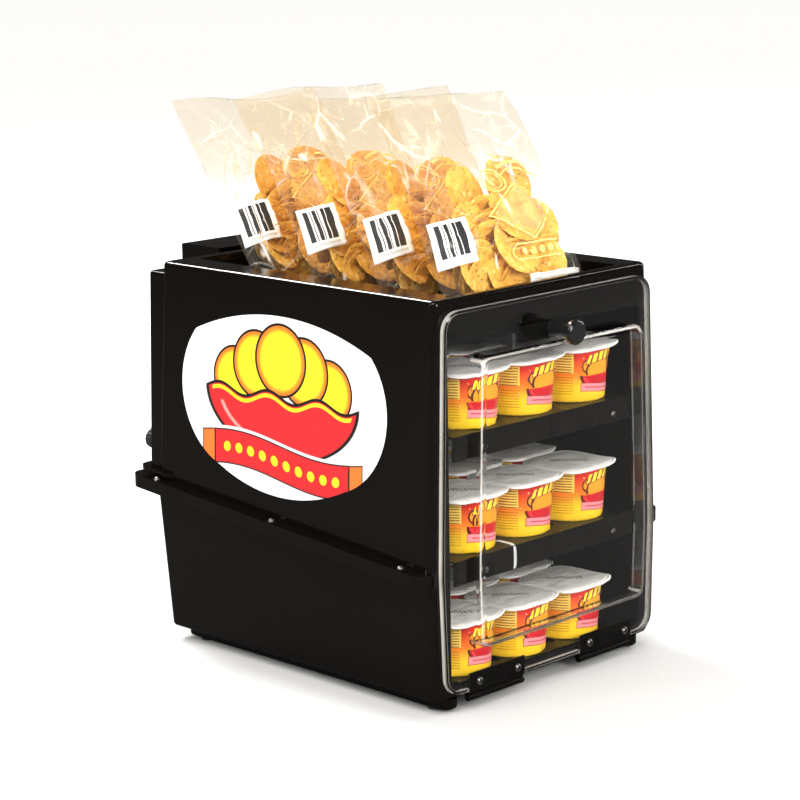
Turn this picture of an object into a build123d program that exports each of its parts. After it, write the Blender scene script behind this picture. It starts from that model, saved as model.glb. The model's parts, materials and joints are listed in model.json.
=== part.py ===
from build123d import *
import os
from math import cos, radians, sin, tan

# Countertop warmer for cheese cups, with a well for chip bags on top. Millimetres.
# Cabinet frame while building: front plane at y = 0, +Y to the back, +X to the right seen from
# the front, z = 0 under the feet. place() then centres the finished model on the origin.

# --- Cabinet -----------------------------------------------------------------------------------
cabinet_height = 412.0
wall_bottom = 14.0
width_top = 315.0
width_seam = 335.0
width_bottom = 325.0
depth_top = 400.0
depth_seam = 410.0
depth_bottom = 400.0
widest_z = 160.0
sheet = 3.0
corner_radius = 8.0
rim_radius = 5.0

# --- Parting flange ----------------------------------------------------------------------------
seam_front_z = 143.0
seam_slope = 4.75
flange_out = 15.0
flange_back_out = 26.0
flange_radius = 14.0
lip_drop = 10.5
flange_screw_inset = 8.0
flange_screw_rows = (35.0, 220.0, 400.0)

# --- Chip well ---------------------------------------------------------------------------------
side_rim = 36.0
front_rim = 9.0
back_rim = 17.0
well_depth = 42.0
well_radius = 8.0

# --- Front opening -----------------------------------------------------------------------------
opening_width = 286.0
opening_top = 369.0
sill_top = 28.0
opening_radius = 8.0

# --- Door --------------------------------------------------------------------------------------
door_sheet = 3.0
door_half_top = 151.5
door_half_seam = 159.0
door_half_bottom = 154.5
door_top = 400.5
door_bottom = 20.0
door_front = 9.0
door_gap = 1.5
door_radius = 20.0
bulge_front = 28.0
bulge_half_top = 122.0
bulge_half_seam = 128.0
bulge_half_bottom = 125.0
bulge_top = 356.0
bulge_bottom = 66.0
bulge_radius = 14.0
bulge_edge = 7.0

# --- Knob and catch ----------------------------------------------------------------------------
knob_z = 365.0
knob_stem_radius = 8.75
knob_head_radius = 12.7
knob_head_thickness = 6.0
knob_reach = 34.0
knob_head_round = 3.5
knob_screw_radius = 2.5
knob_screw_depth = 18.0
knob_screw_head = 5.0
knob_screw_head_thickness = 1.2
knob_screw_grip = 0.02
strike_width = 100.0
strike_height = 16.0
strike_sheet = 1.2
catch_width = 104.0
catch_height = 13.0
catch_depth = 21.0
catch_proud = 3.0
magnet_width = 20.0
magnet_spacing = 70.0
magnet_gap = 0.2
magnet_back = 3.0
magnet_floor = 3.0
magnet_roof = 2.0

# --- Door hinges -------------------------------------------------------------------------------
hinge_axis_y = -3.6
hinge_axis_z = 12.0
hinge_centre = 83.0
hinge_width = 80.0
leaf_sheet = 1.5
barrel_radius = 3.3
pin_radius = 1.8
pin_clearance = 0.05
pin_head = 1.0
pin_head_rise = 0.8
knuckle_gap = 0.4
leaf_gap = 0.6
door_leaf_top = 38.0
body_leaf_top = 27.0
hinge_screw_spacing = 56.0
hinge_screw_radius = 2.0
dome_radius = 4.4
dome_height = 2.6
hinge_nut_radius = 3.2
hinge_nut_thickness = 1.4
door_screw_rise = 8.0
body_screw_drop = 5.0
body_screw_radius = 1.5
body_screw_head = 3.2
body_screw_dome = 1.1
body_screw_depth = 8.0
screw_fit = 0.1

# --- Rack, shelves and rails -------------------------------------------------------------------
tier_z = (30.5, 154.5, 278.5)
rack_inner = 291.0
rack_sheet = 1.5
rack_front = 4.0
rack_depth = 330.0
rack_foot = 16.0
rail_leg = 14.0
shelf_sheet = 1.5
shelf_side_gap = 1.5
shelf_front = -3.8
lip_height = 24.5
lip_sheet = 1.2
lip_rivet_x = 96.5
rivet_radius = 2.0
rivet_head = 3.2
rivet_dome = 1.3
rivet_fit = 0.05
rivet_end_inset = 40.0
front_gap = 2.0
lip_gap = 0.25
shelf_back_gap = 4.0
floor_leg_x = 112.0
floor_leg_inset = 10.0
tie_slot = -2
tie_width = 3.6
tie_thickness = 1.2
tie_gap = 0.3
tie_reach = 3.0
tie_round = 2.5
tie_head_width = 6.0
tie_head_length = 4.5
tie_head_top = 10.0
tie_head_bottom = 16.0
slot_width = 11.0
slot_length = 58.0
slot_pitch_x = 28.0
slot_rows = (18.0, 100.0, 182.0, 264.0)

# --- Cheese cups -------------------------------------------------------------------------------
cup_pitch = 82.0
cup_shift = (-16.0, -8.0, -4.0)
cup_front_y = 36.0
cup_columns = 3
cup_rows = 4
cup_base_radius = 34.0
cup_top_radius = 36.5
cup_height = 55.0
cup_floor_radius = 3.0
lid_side = 80.0
lid_radius = 12.0
lid_thickness = 2.4

# --- Rear bay ----------------------------------------------------------------------------------
back_panel_sheet = 1.2
back_vent_columns = 11
back_vent_rows = 5
back_vent_pitch_x = 24.0
back_vent_pitch_z = 11.0
back_vent_width = 16.0
back_vent_height = 5.0
back_vent_bottom = 300.0
cover_back = 420.0
cover_top = 400.0
cover_edge_inset = 1.5
cover_radius = 4.0
service_half = 150.0
service_bottom = 196.0
service_top = 350.0
ledge_rise = 7.0
ledge_thickness = 4.0
ledge_half = 172.0
ledge_back = 434.0
housing_half = 59.0
housing_back = 486.0
housing_bottom = 240.0
housing_tab = 14.0
housing_radius = 6.0
duct_frame = 12.0
duct_sill = 20.0
duct_head = 30.0
rear_screw_radius = 1.6
rear_screw_head = 3.8
rear_screw_dome = 2.3
rear_screw_length = 8.0
rear_screw_fit = 0.1
cover_screw_gap = 38.0
cover_screw_drop = 16.0
cover_screw_rise = 42.0
vent_count = 7
vent_height = 6.0
vent_pitch = 18.0

# --- Warming parts -----------------------------------------------------------------------------
fan_size = 119.0
fan_depth = 38.0
fan_z = 130.0
fan_bore_radius = 56.0
fan_hub_radius = 24.0
fan_tip_gap = 2.0
fan_blades = 7
fan_screw_spacing = 105.0
fan_screw_radius = 2.0
fan_screw_head = 4.0
fan_screw_dome = 2.2
fan_screw_length = 11.0
fan_screw_fit = 0.05
fan_corner = 6.0
fan_strut = 8.0
fan_strut_depth = 4.0
fan_motor_depth = 8.0
fan_pin_radius = 3.0
fan_pin_fit = 0.05
fan_blade_chord = 22.0
fan_blade_thickness = 1.8
fan_blade_pitch = 35.0
fan_blade_middle = 16.0
fan_rotor_front = 5.0
fan_rotor_back = 9.0
heater_z = 262.0
heater_width = 200.0
heater_pitch = 44.0
heater_rod_radius = 4.0
heater_stand = 24.0
heater_clip_sheet = 1.5
heater_clip_foot = 12.0
heater_clip_edge = 10.0
heater_clip_inset = 14.0
heater_clip_fit = 0.05

# --- Controls on the back ----------------------------------------------------------------------
dial_x = -142.0
dial_z = 212.0
dial_radius = 14.5
dial_height = 24.0
dial_shaft_radius = 3.0
thermostat_size = 27.0
thermostat_depth = 24.0
thermostat_round = 3.0
dial_skirt = 8.0
dial_gap = 1.0
dial_taper = 2.0
dial_rib_width = 2.4
dial_rib_rise = 1.2
dial_shaft_reach = 16.0
dial_shaft_fit = 0.05
switch_x = 96.0
switch_z = 230.0
switch_width = 21.0
switch_height = 30.0
switch_depth = 22.0
bezel_width = 2.0
bezel_thickness = 2.0
bezel_round = 1.5
rocker_recess = 9.0
rocker_wall = 2.3
rocker_pivot_depth = 2.0
rocker_pivot_radius = 1.2
rocker_pivot_fit = 0.05
rocker_rise = 4.6
rocker_cut = 3.2
rocker_tilt = 8.0
gland_x = 136.0
gland_z = 230.0
gland_radius = 9.0
gland_bore = 4.0
gland_neck_radius = 6.5
gland_collar = 4.0
gland_nose = 12.0
gland_nut = 4.0
gland_fit = 0.1

# --- Runners and feet --------------------------------------------------------------------------
runner_centre = 138.0
runner_width = 22.0
runner_bottom = 3.0
runner_front = 1.0
runner_length = 389.0
foot_radius = 9.0
foot_height = 4.0
foot_inset = 24.0
foot_stem_radius = 2.0
foot_stem_fit = 0.05
foot_taper = 1.0
runner_round = 2.5
runner_screw_shares = (0.2, 0.8)
runner_screw_radius = 1.6
runner_screw_grip = 0.02
runner_screw_head = 3.6
runner_screw_dome = 2.2
runner_screw_depth = 10.0

# --- Side badges -------------------------------------------------------------------------------
badge_centre_y = 214.0
badge_centre_z = 281.0
badge_width = 300.0
badge_height = 186.0
badge_thickness = 0.4

# --- Chip bags ---------------------------------------------------------------------------------
bag_width = 212.0
bag_length = 246.0
bag_thickness = 62.0
bag_places = ((24.0, 28.0), (110.0, 30.0), (205.0, 31.0), (296.0, 36.0))
bag_floor_gap = 0.5
bag_seal = 3.0

# --- Worked out from the sizes above -----------------------------------------------------------
rear_reach = housing_back
front_reach = door_front + knob_reach
centre_shift = (front_reach - rear_reach) / 2
well_floor = cabinet_height - well_depth
floor_top = wall_bottom + sheet
rack_back = rack_front + rack_depth
back_panel_y = rack_back
fan_front_y = back_panel_y + back_panel_sheet
rack_top = well_floor - sheet - 2.0


def box(x0, x1, y0, y1, z0, z1):
    """A block between two opposite corners."""
    return Pos((x0 + x1) / 2, (y0 + y1) / 2, (z0 + z1) / 2) * Box(x1 - x0, y1 - y0, z1 - z0)


def rod_y(x, z, radius, y0, y1):
    """A round bar along Y."""
    return Pos(x, (y0 + y1) / 2, z) * Rot(90, 0, 0) * Cylinder(radius, y1 - y0)


def rod_x(y, z, radius, x0, x1):
    """A round bar along X."""
    return Pos((x0 + x1) / 2, y, z) * Rot(0, 90, 0) * Cylinder(radius, x1 - x0)


def dome(radius, height):
    """A shallow screw or rivet head on the XY plane, bulging along +Z."""
    ball = (radius ** 2 + height ** 2) / (2 * height)
    cap = Pos(0, 0, height - ball) * Sphere(ball)
    return cap & Pos(0, 0, height / 2) * Box(2 * radius, 2 * radius, height)


def both_sides(part):
    """A piece and its mirror image across the centre plane."""
    return [part, mirror(part, about=Plane.YZ)]


def joined(parts):
    """One compound of separate solids."""
    solids = []
    for part in parts:
        solids.extend(part.solids())
    return Compound(children=solids)


# --- Cabinet shells ----------------------------------------------------------------------------
def upper_width(z):
    return width_top + (width_seam - width_top) * (cabinet_height - z) / (cabinet_height - widest_z)


def upper_depth(z):
    return depth_top + (depth_seam - depth_top) * (cabinet_height - z) / (cabinet_height - widest_z)


def lower_width(z):
    return width_bottom + (width_seam - width_bottom) * (z - wall_bottom) / (widest_z - wall_bottom)


def lower_depth(z):
    return depth_bottom + (depth_seam - depth_bottom) * (z - wall_bottom) / (widest_z - wall_bottom)


def outline(width, depth, z, inset=0.0, front=0.0):
    """A rounded rectangle at height z, its front edge on the plane y = front."""
    radius = max(corner_radius - inset, 1.0)
    across = width - 2 * inset
    along = depth - 2 * inset
    return Pos(0, depth / 2 + front, z) * RectangleRounded(across, along, radius)


def upper_form(z0, z1, inset=0.0):
    return loft([outline(upper_width(z0), upper_depth(z0), z0, inset),
                 outline(upper_width(z1), upper_depth(z1), z1, inset)], ruled=True)


def lower_form(z0, z1, inset=0.0):
    return loft([outline(lower_width(z0), lower_depth(z0), z0, inset),
                 outline(lower_width(z1), lower_depth(z1), z1, inset)], ruled=True)


seam_plane = Plane(origin=(0, 0, seam_front_z), x_dir=(1, 0, 0),
                   z_dir=(0, -sin(radians(seam_slope)), cos(radians(seam_slope))))


def seam_z(y):
    return seam_front_z + y * tan(radians(seam_slope))


def seam_slab(low, high):
    """Everything between two planes parallel to the sloping seam."""
    return seam_plane * Pos(0, 250, (low + high) / 2) * Box(700, 1100, high - low)


def flange_outline(inset=0.0):
    """The flange's outer edge: open at the front, round at all four corners."""
    half = width_seam / 2 + flange_out - inset
    back = depth_seam + flange_back_out - inset
    radius = flange_radius - inset
    return Pos(0, (back + inset) / 2, 60) * RectangleRounded(2 * half, back - inset, radius)


def flange_ring(low, high, inset=0.0):
    tower = extrude(flange_outline(inset), 200)
    return tower & seam_slab(low, high)


def cavity(form, z0, z1):
    return form(z0, z1, sheet)


def front_opening():
    """The doorway, the same through both shells."""
    middle = (sill_top + opening_top) / 2
    shape = RectangleRounded(opening_width, opening_top - sill_top, opening_radius)
    face = Plane(origin=(0, -5, middle), x_dir=(1, 0, 0), z_dir=(0, 1, 0)) * shape
    return extrude(face, 5 + sheet + 2)


def well_pocket(grow=0.0, drop=0.0):
    half = width_top / 2 - side_rim + grow
    front = front_rim - grow
    back = depth_top - back_rim + grow
    z0 = well_floor - drop
    shape = Pos(0, (front + back) / 2, z0) * RectangleRounded(2 * half, back - front, well_radius + grow)
    return extrude(shape, cabinet_height - z0)


def flange_screw_points():
    side = width_seam / 2 + flange_out - flange_screw_inset
    back = depth_seam + flange_back_out - flange_screw_inset
    points = []
    for y in flange_screw_rows:
        points.append((-side, y))
        points.append((side, y))
    points.append((-width_seam / 6, back))
    points.append((width_seam / 6, back))
    return points


def on_seam(x, y, part):
    """Stand a part on the flange, square to its sloping top face."""
    rise = y / cos(radians(seam_slope))
    return seam_plane * Pos(x, rise, sheet) * part


def flange_screw():
    shank = Pos(0, 0, -4.5) * Cylinder(1.6, 9)
    return dome(3.9, 2.4) + shank


def cabinet_screws():
    """The flange screws and the ones that hold the runners."""
    screws = [on_seam(x, y, flange_screw()) for x, y in flange_screw_points()]
    screws.extend(runner_screws())
    return joined(screws)


def flange_holes(radius):
    return [on_seam(x, y, Cylinder(radius, 30)) for x, y in flange_screw_points()]


def upper_shell():
    """Drafted upper cabinet with the chip well, the header and half of the flange."""
    low = seam_front_z - 25
    body = upper_form(low, cabinet_height)
    rim = body.edges().group_by(Axis.Z)[-1]
    body = fillet(rim, rim_radius)
    body -= cavity(upper_form, low, cabinet_height - sheet)
    body += well_pocket(sheet, sheet)
    body -= well_pocket()
    flange = flange_ring(0, sheet)
    flange -= cavity(upper_form, low, cabinet_height - sheet)
    body += flange
    body -= seam_slab(-120, 0)
    body -= front_opening()
    service = box(-service_half, service_half, depth_top - 10, depth_seam + 15, service_bottom, service_top)
    body -= service
    half = thermostat_size / 2 + 2.0
    body -= box(dial_x - half, dial_x + half, depth_top - 10, depth_seam + 15, dial_z - half, dial_z + half)
    for hole in flange_holes(1.7):
        body -= hole
    for hole in cover_screw_rods(1.65):
        body -= hole
    return body


def lower_shell():
    """Drafted base with a floor, a sill, and the rolled lip that carries the upper shell."""
    high = seam_z(depth_seam) + 25
    body = lower_form(wall_bottom, high)
    floor_edges = body.edges().group_by(Axis.Z)[0]
    body = fillet(floor_edges, rim_radius)
    room = lower_form(floor_top, high + 1, sheet)
    body -= room
    flange = flange_ring(-lip_drop, 0) - flange_ring(-lip_drop - 1, -sheet, sheet)
    flange -= lower_form(wall_bottom, high, sheet / 2)
    body += flange
    body -= seam_slab(0, 120)
    body -= front_opening()
    for hole in flange_holes(1.62):
        body -= hole
    for x, z in body_leaf_screw_points():
        body -= rod_y(x, z, 1.55, -2, 12)
    for point in runner_screw_points():
        body -= Pos(point[0], point[1], floor_top) * Cylinder(1.65, 12)
    return body


# --- Runners and feet --------------------------------------------------------------------------
def runner_screw_points():
    return [(side * runner_centre, runner_front + share * runner_length)
            for side in (-1, 1) for share in runner_screw_shares]


def runner(side):
    """A moulded skid under one side, rounded at both ends."""
    x = side * runner_centre
    height = wall_bottom - runner_bottom
    centre = Pos(x, runner_front + runner_length / 2, runner_bottom)
    body = extrude(centre * RectangleRounded(runner_width, runner_length, runner_width / 2 - 1), height)
    body = fillet(body.edges().group_by(Axis.Z)[0], runner_round)
    for px, py in runner_screw_points():
        body -= Pos(px, py, wall_bottom) * Cylinder(runner_screw_radius + runner_screw_grip, 16)
    for y in foot_rows():
        body -= Pos(x, y, runner_bottom) * Cylinder(foot_stem_radius + foot_stem_fit, 10)
    return body


def runner_screws():
    screws = []
    for x, y in runner_screw_points():
        head = dome(runner_screw_head, runner_screw_dome)
        shank = Pos(0, 0, -runner_screw_depth / 2) * Cylinder(runner_screw_radius, runner_screw_depth)
        screws.append(Pos(x, y, floor_top + rack_sheet) * (head + shank))
    return screws


def foot_rows():
    return (runner_front + foot_inset, runner_front + runner_length - foot_inset)


def foot(side, row):
    """A push-in rubber foot."""
    base = Cone(foot_radius - foot_taper, foot_radius, runner_bottom)
    body = Pos(0, 0, runner_bottom / 2) * base
    stem = Pos(0, 0, runner_bottom + foot_height / 2) * Cylinder(foot_stem_radius, foot_height)
    return Pos(side * runner_centre, foot_rows()[row], 0) * (body + stem)


# --- Rack, rails and shelves -------------------------------------------------------------------
def rack_side(side):
    """A folded sheet side that carries the rails and stands on the cabinet floor."""
    inner = rack_inner / 2
    outer = inner + rack_sheet
    wall = box(inner, outer, rack_front, rack_back, floor_top, rack_top)
    foot_flange = box(inner - rack_foot, inner, rack_front, rack_back, floor_top, floor_top + rack_sheet)
    part = wall + foot_flange
    for z in tier_z[1:]:
        for y in rail_rivet_rows():
            part -= rod_x(y, z - rail_leg / 2 - shelf_sheet, rivet_radius + rivet_fit, inner - 1, outer + 1)
    for x, y in runner_screw_points():
        part -= Pos(x, y, floor_top) * Cylinder(runner_screw_radius + screw_fit, 20)
    if side < 0:
        part = mirror(part, about=Plane.YZ)
    return part


def rail_rivet_rows():
    return (rack_front + rivet_end_inset, rack_back - rivet_end_inset)


def rail(tier, side):
    """An angle riveted to the rack side, with the shelf lying on its flat leg."""
    inner = rack_inner / 2
    top = tier_z[tier] - shelf_sheet
    upright = box(inner - rack_sheet, inner, rack_front, rack_back - 2, top - rail_leg, top)
    flat = box(inner - rail_leg, inner, rack_front, rack_back - 2, top - rack_sheet, top)
    part = upright + flat
    for y in rail_rivet_rows():
        part -= rod_x(y, top - rail_leg / 2, rivet_radius + rivet_fit, inner - 3, inner + 3)
    if side < 0:
        part = mirror(part, about=Plane.YZ)
    return part


def rail_rivet(tier, y):
    """A rivet through one rail and the rack side, with a head on each face."""
    inner = rack_inner / 2
    z = tier_z[tier] - shelf_sheet - rail_leg / 2
    face_in = inner - rack_sheet
    face_out = inner + rack_sheet
    shank = rod_x(y, z, rivet_radius, face_in, face_out)
    head_in = Pos(face_in, y, z) * Rot(0, -90, 0) * dome(rivet_head, rivet_dome)
    head_out = Pos(face_out, y, z) * Rot(0, 90, 0) * dome(rivet_head, rivet_dome)
    return shank + head_in + head_out


def lip_rivet(tier, x):
    z = tier_z[tier] - lip_rivet_drop()
    front = shelf_front - lip_sheet
    back = shelf_front + shelf_sheet
    shank = rod_y(x, z, rivet_radius, front, back)
    head_front = Pos(x, front, z) * Rot(90, 0, 0) * dome(rivet_head, rivet_dome)
    head_back = Pos(x, back, z) * Rot(-90, 0, 0) * dome(rivet_head, rivet_dome)
    return shank + head_front + head_back


def lip_rivet_drop():
    return lip_height * 0.68


def shelf_rivets():
    """Every rivet of the rails and the shelf lips."""
    rivets = []
    for tier in (1, 2):
        for y in rail_rivet_rows():
            rivets.extend(both_sides(rail_rivet(tier, y)))
        rivets.extend(both_sides(lip_rivet(tier, lip_rivet_x)))
    return joined(rivets)


def shelf_half():
    return rack_inner / 2 - rack_sheet - shelf_side_gap


def slot_shape(x, y, z):
    centre = Pos(x, y + slot_length / 2, z - shelf_sheet - 1)
    face = centre * Rot(0, 0, 90) * SlotOverall(slot_length, slot_width)
    return extrude(face, shelf_sheet + 2)


def slots(z):
    """The rows of long slots that let warm air through a shelf."""
    reach = int((shelf_half() - slot_width) / slot_pitch_x)
    cuts = []
    for row in slot_rows:
        for step in range(-reach, reach + 1):
            cuts.append(slot_shape(step * slot_pitch_x, row, z))
    return cuts


def shelf(tier):
    """A slotted sheet shelf; the two upper ones are folded down along the front."""
    z = tier_z[tier]
    front_half = opening_width / 2 - front_gap
    if tier == 0:
        sill_half = front_half - opening_radius
        part = box(-sill_half, sill_half, 0, rack_front, z - shelf_sheet, z)
    else:
        part = box(-front_half, front_half, shelf_front, rack_front, z - shelf_sheet, z)
        part += box(-front_half, front_half, shelf_front, shelf_front + shelf_sheet,
                    z - lip_height, z)
        for side in (-1, 1):
            part -= rod_y(side * lip_rivet_x, z - lip_rivet_drop(), rivet_radius + rivet_fit, -8, 2)
    part += box(-shelf_half(), shelf_half(), rack_front, rack_back - shelf_back_gap, z - shelf_sheet, z)
    if tier == 0:
        part += floor_shelf_legs(z)
    for cut in slots(z):
        part -= cut
    return part


def floor_shelf_legs(z):
    """Two folded channels that hold the lowest shelf above the cabinet floor."""
    legs = None
    for x0 in (-floor_leg_x, floor_leg_x - shelf_sheet):
        leg = box(x0, x0 + shelf_sheet, floor_leg_inset, rack_back - floor_leg_inset, floor_top, z)
        legs = leg if legs is None else legs + leg
    return legs


def lip(tier, side):
    """One half of the label strip along a shelf's front; the halves meet at the centre."""
    z = tier_z[tier]
    half = opening_width / 2 - front_gap
    part = box(lip_gap, half, shelf_front - lip_sheet, shelf_front, z - lip_height, z)
    part -= rod_y(lip_rivet_x, z - lip_rivet_drop(), rivet_radius + rivet_fit, -8, 2)
    if side < 0:
        part = mirror(part, about=Plane.YZ)
    return part


def cable_tie():
    """A nylon tie looped round the middle shelf's lip, through one of its slots."""
    z = tier_z[1]
    x = tie_slot * slot_pitch_x
    half = tie_width / 2
    thick = tie_thickness
    y0 = shelf_front - lip_sheet - tie_gap
    y1 = slot_rows[0] + tie_reach
    z0 = z - lip_height - tie_gap
    z1 = z + tie_gap
    outer = box(x - half, x + half, y0 - thick, y1 + thick, z0 - thick, z1 + thick)
    outer = fillet(outer.edges().filter_by(Axis.X), tie_round)
    inner = box(x - tie_width, x + tie_width, y0, y1, z0, z1)
    half = tie_head_width / 2
    back = y1 + thick
    head = box(x - half, x + half, back - thick / 2, back + tie_head_length,
               z - tie_head_bottom, z - tie_head_top)
    return outer - inner + head


# --- Cups --------------------------------------------------------------------------------------
def cup(x, y, z):
    """A filled round cup and its rounded-square lid, one solid each."""
    body = Pos(x, y, z + cup_height / 2) * Cone(cup_base_radius, cup_top_radius, cup_height)
    body = fillet(body.edges().group_by(Axis.Z)[0], cup_floor_radius)
    plate = Pos(x, y, z + cup_height) * RectangleRounded(lid_side, lid_side, lid_radius)
    lid = extrude(plate, lid_thickness)
    return [body, lid]


def cups(tier):
    """One shelf's block of cups, three across and four deep."""
    parts = []
    for column in range(cup_columns):
        x = cup_shift[tier] + (column - (cup_columns - 1) / 2) * cup_pitch
        for row in range(cup_rows):
            parts.extend(cup(x, cup_front_y + row * cup_pitch, tier_z[tier]))
    return joined(parts)


# --- Rear bay ----------------------------------------------------------------------------------
def back_panel():
    """The perforated sheet between the cup bay and the warming parts."""
    half = rack_inner / 2 + rack_sheet
    part = box(-half, half, back_panel_y, back_panel_y + back_panel_sheet, floor_top, rack_top)
    y0 = back_panel_y - 1
    y1 = fan_front_y + 1
    part -= rod_y(0, fan_z, fan_bore_radius - 1, y0, y1)
    half_x = back_vent_width / 2
    half_z = back_vent_height / 2
    for row in range(back_vent_rows):
        for column in range(back_vent_columns):
            x = (column - (back_vent_columns - 1) / 2) * back_vent_pitch_x
            z = back_vent_bottom + row * back_vent_pitch_z
            part -= box(x - half_x, x + half_x, y0, y1, z - half_z, z + half_z)
    for x, z in fan_screw_points():
        part -= rod_y(x, z, fan_screw_radius + fan_screw_fit, y0, y1)
    return part


def fan_screw_points():
    half = fan_screw_spacing / 2
    return [(sx * half, fan_z + sz * half) for sx in (-1, 1) for sz in (-1, 1)]


def fan_frame():
    """A square axial fan frame with a motor held on four struts."""
    y0 = fan_front_y
    y1 = y0 + fan_depth
    half = fan_size / 2
    body = box(-half, half, y0, y1, fan_z - half, fan_z + half)
    body = fillet(body.edges().filter_by(Axis.Y), fan_corner)
    body -= rod_y(0, fan_z, fan_bore_radius, y0 - 1, y1 + 1)
    strut = fan_strut / 2
    reach = fan_bore_radius + 1
    body += box(-reach, reach, y1 - fan_strut_depth, y1, fan_z - strut, fan_z + strut)
    body += box(-strut, strut, y1 - fan_strut_depth, y1, fan_z - reach, fan_z + reach)
    body += rod_y(0, fan_z, fan_hub_radius, y1 - fan_motor_depth, y1)
    body += rod_y(0, fan_z, fan_pin_radius, y0 + fan_motor_depth, y1 - fan_motor_depth)
    for x, z in fan_screw_points():
        body -= rod_y(x, z, fan_screw_radius + fan_screw_fit, y0 - 1, y0 + fan_screw_length + 1)
    return body


def fan_blade(angle):
    """One twisted blade, running from the hub to just inside the frame."""
    tip = fan_bore_radius - fan_tip_gap
    length = tip - fan_hub_radius + 2
    blade = Box(length, fan_blade_chord, fan_blade_thickness)
    placed = Pos(fan_hub_radius - 2 + length / 2, 0, 0) * Rot(fan_blade_pitch, 0, 0) * blade
    middle = fan_front_y + fan_blade_middle
    return Pos(0, middle, fan_z) * Rot(0, angle, 0) * Rot(90, 0, 0) * placed


def fan_rotor():
    y0 = fan_front_y + fan_rotor_front
    y1 = fan_front_y + fan_depth - fan_rotor_back
    part = rod_y(0, fan_z, fan_hub_radius, y0, y1)
    for number in range(fan_blades):
        part += fan_blade(number * 360.0 / fan_blades)
    part -= rod_y(0, fan_z, fan_pin_radius + fan_pin_fit, y0 + 2.5, y1 + 1)
    part = part & rod_y(0, fan_z, fan_bore_radius - fan_tip_gap, y0 - 3, y1 + 0.5)
    return part


def fan_screws():
    screws = []
    for x, z in fan_screw_points():
        head = Pos(x, back_panel_y, z) * Rot(90, 0, 0) * dome(fan_screw_head, fan_screw_dome)
        screws.append(head + rod_y(x, z, fan_screw_radius, back_panel_y, back_panel_y + fan_screw_length))
    return joined(screws)


def heater_element():
    """A sheathed element bent to a U lying on its side."""
    y = fan_front_y + heater_stand
    half = heater_width / 2
    z0 = heater_z - heater_pitch / 2
    z1 = heater_z + heater_pitch / 2
    lower = Line((-half, y, z0), (half, y, z0))
    bend = ThreePointArc((half, y, z0), (half + heater_pitch / 2, y, heater_z), (half, y, z1))
    upper = Line((half, y, z1), (-half, y, z1))
    path = Wire([lower, bend, upper])
    section = Plane(origin=(-half, y, z0), z_dir=(1, 0, 0)) * Circle(heater_rod_radius)
    return sweep(section, path=path)


def heater_clip(x):
    """A strip bracket from the back panel with two holes for the element."""
    y0 = fan_front_y
    y1 = y0 + heater_stand + heater_rod_radius + heater_clip_edge / 2
    z0 = heater_z - heater_pitch / 2 - heater_clip_edge
    z1 = heater_z + heater_pitch / 2 + heater_clip_edge
    part = box(x, x + heater_clip_sheet, y0, y1, z0, z1)
    part += box(x, x + heater_clip_foot, y0, y0 + heater_clip_sheet, z0, z1)
    bore = heater_rod_radius + heater_clip_fit
    for side in (-1, 1):
        z = heater_z + side * heater_pitch / 2
        part -= rod_x(y0 + heater_stand, z, bore, x - 1, x + heater_clip_sheet + 1)
    return part


def heater_clips():
    half = heater_width / 2
    left = -half + heater_clip_inset
    right = half - heater_clip_inset - heater_clip_foot
    return joined([heater_clip(left), heater_clip(right)])


# --- Rear cover and housing --------------------------------------------------------------------
def cover_prism(inset, y0, y1):
    """The back cover's outline, tapering with the cabinet, pushed along Y."""
    z0 = seam_z(depth_seam) + ledge_rise + inset
    z1 = cover_top - inset
    half0 = upper_width(z0) / 2 - cover_edge_inset - inset
    half1 = upper_width(z1) / 2 - cover_edge_inset - inset
    plane = Plane(origin=(0, y0, 0), x_dir=(1, 0, 0), z_dir=(0, -1, 0))
    corners = [(-half0, z0), (half0, z0), (half1, z1), (-half1, z1)]
    face = plane * make_face(Polyline(*corners, close=True))
    return extrude(face, -(y1 - y0))


def cover_screw_points():
    low = service_bottom + cover_screw_rise
    high = cover_top - cover_screw_drop
    half_low = service_half + 7
    half_high = service_half - 6
    half_inner = housing_half + cover_screw_gap
    corners = [(half_low, low), (half_high, high), (half_inner, high)]
    return [(side * x, z) for x, z in corners for side in (-1, 1)]


def cover_screw_rods(radius):
    return [rod_y(x, z, radius, depth_top - 12, cover_back + 5) for x, z in cover_screw_points()]


def housing_screw_points():
    x = housing_half + housing_tab / 2
    return [(side * x, z) for side in (-1, 1) for z in (housing_bottom + 14, cover_top - 40)]


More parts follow.
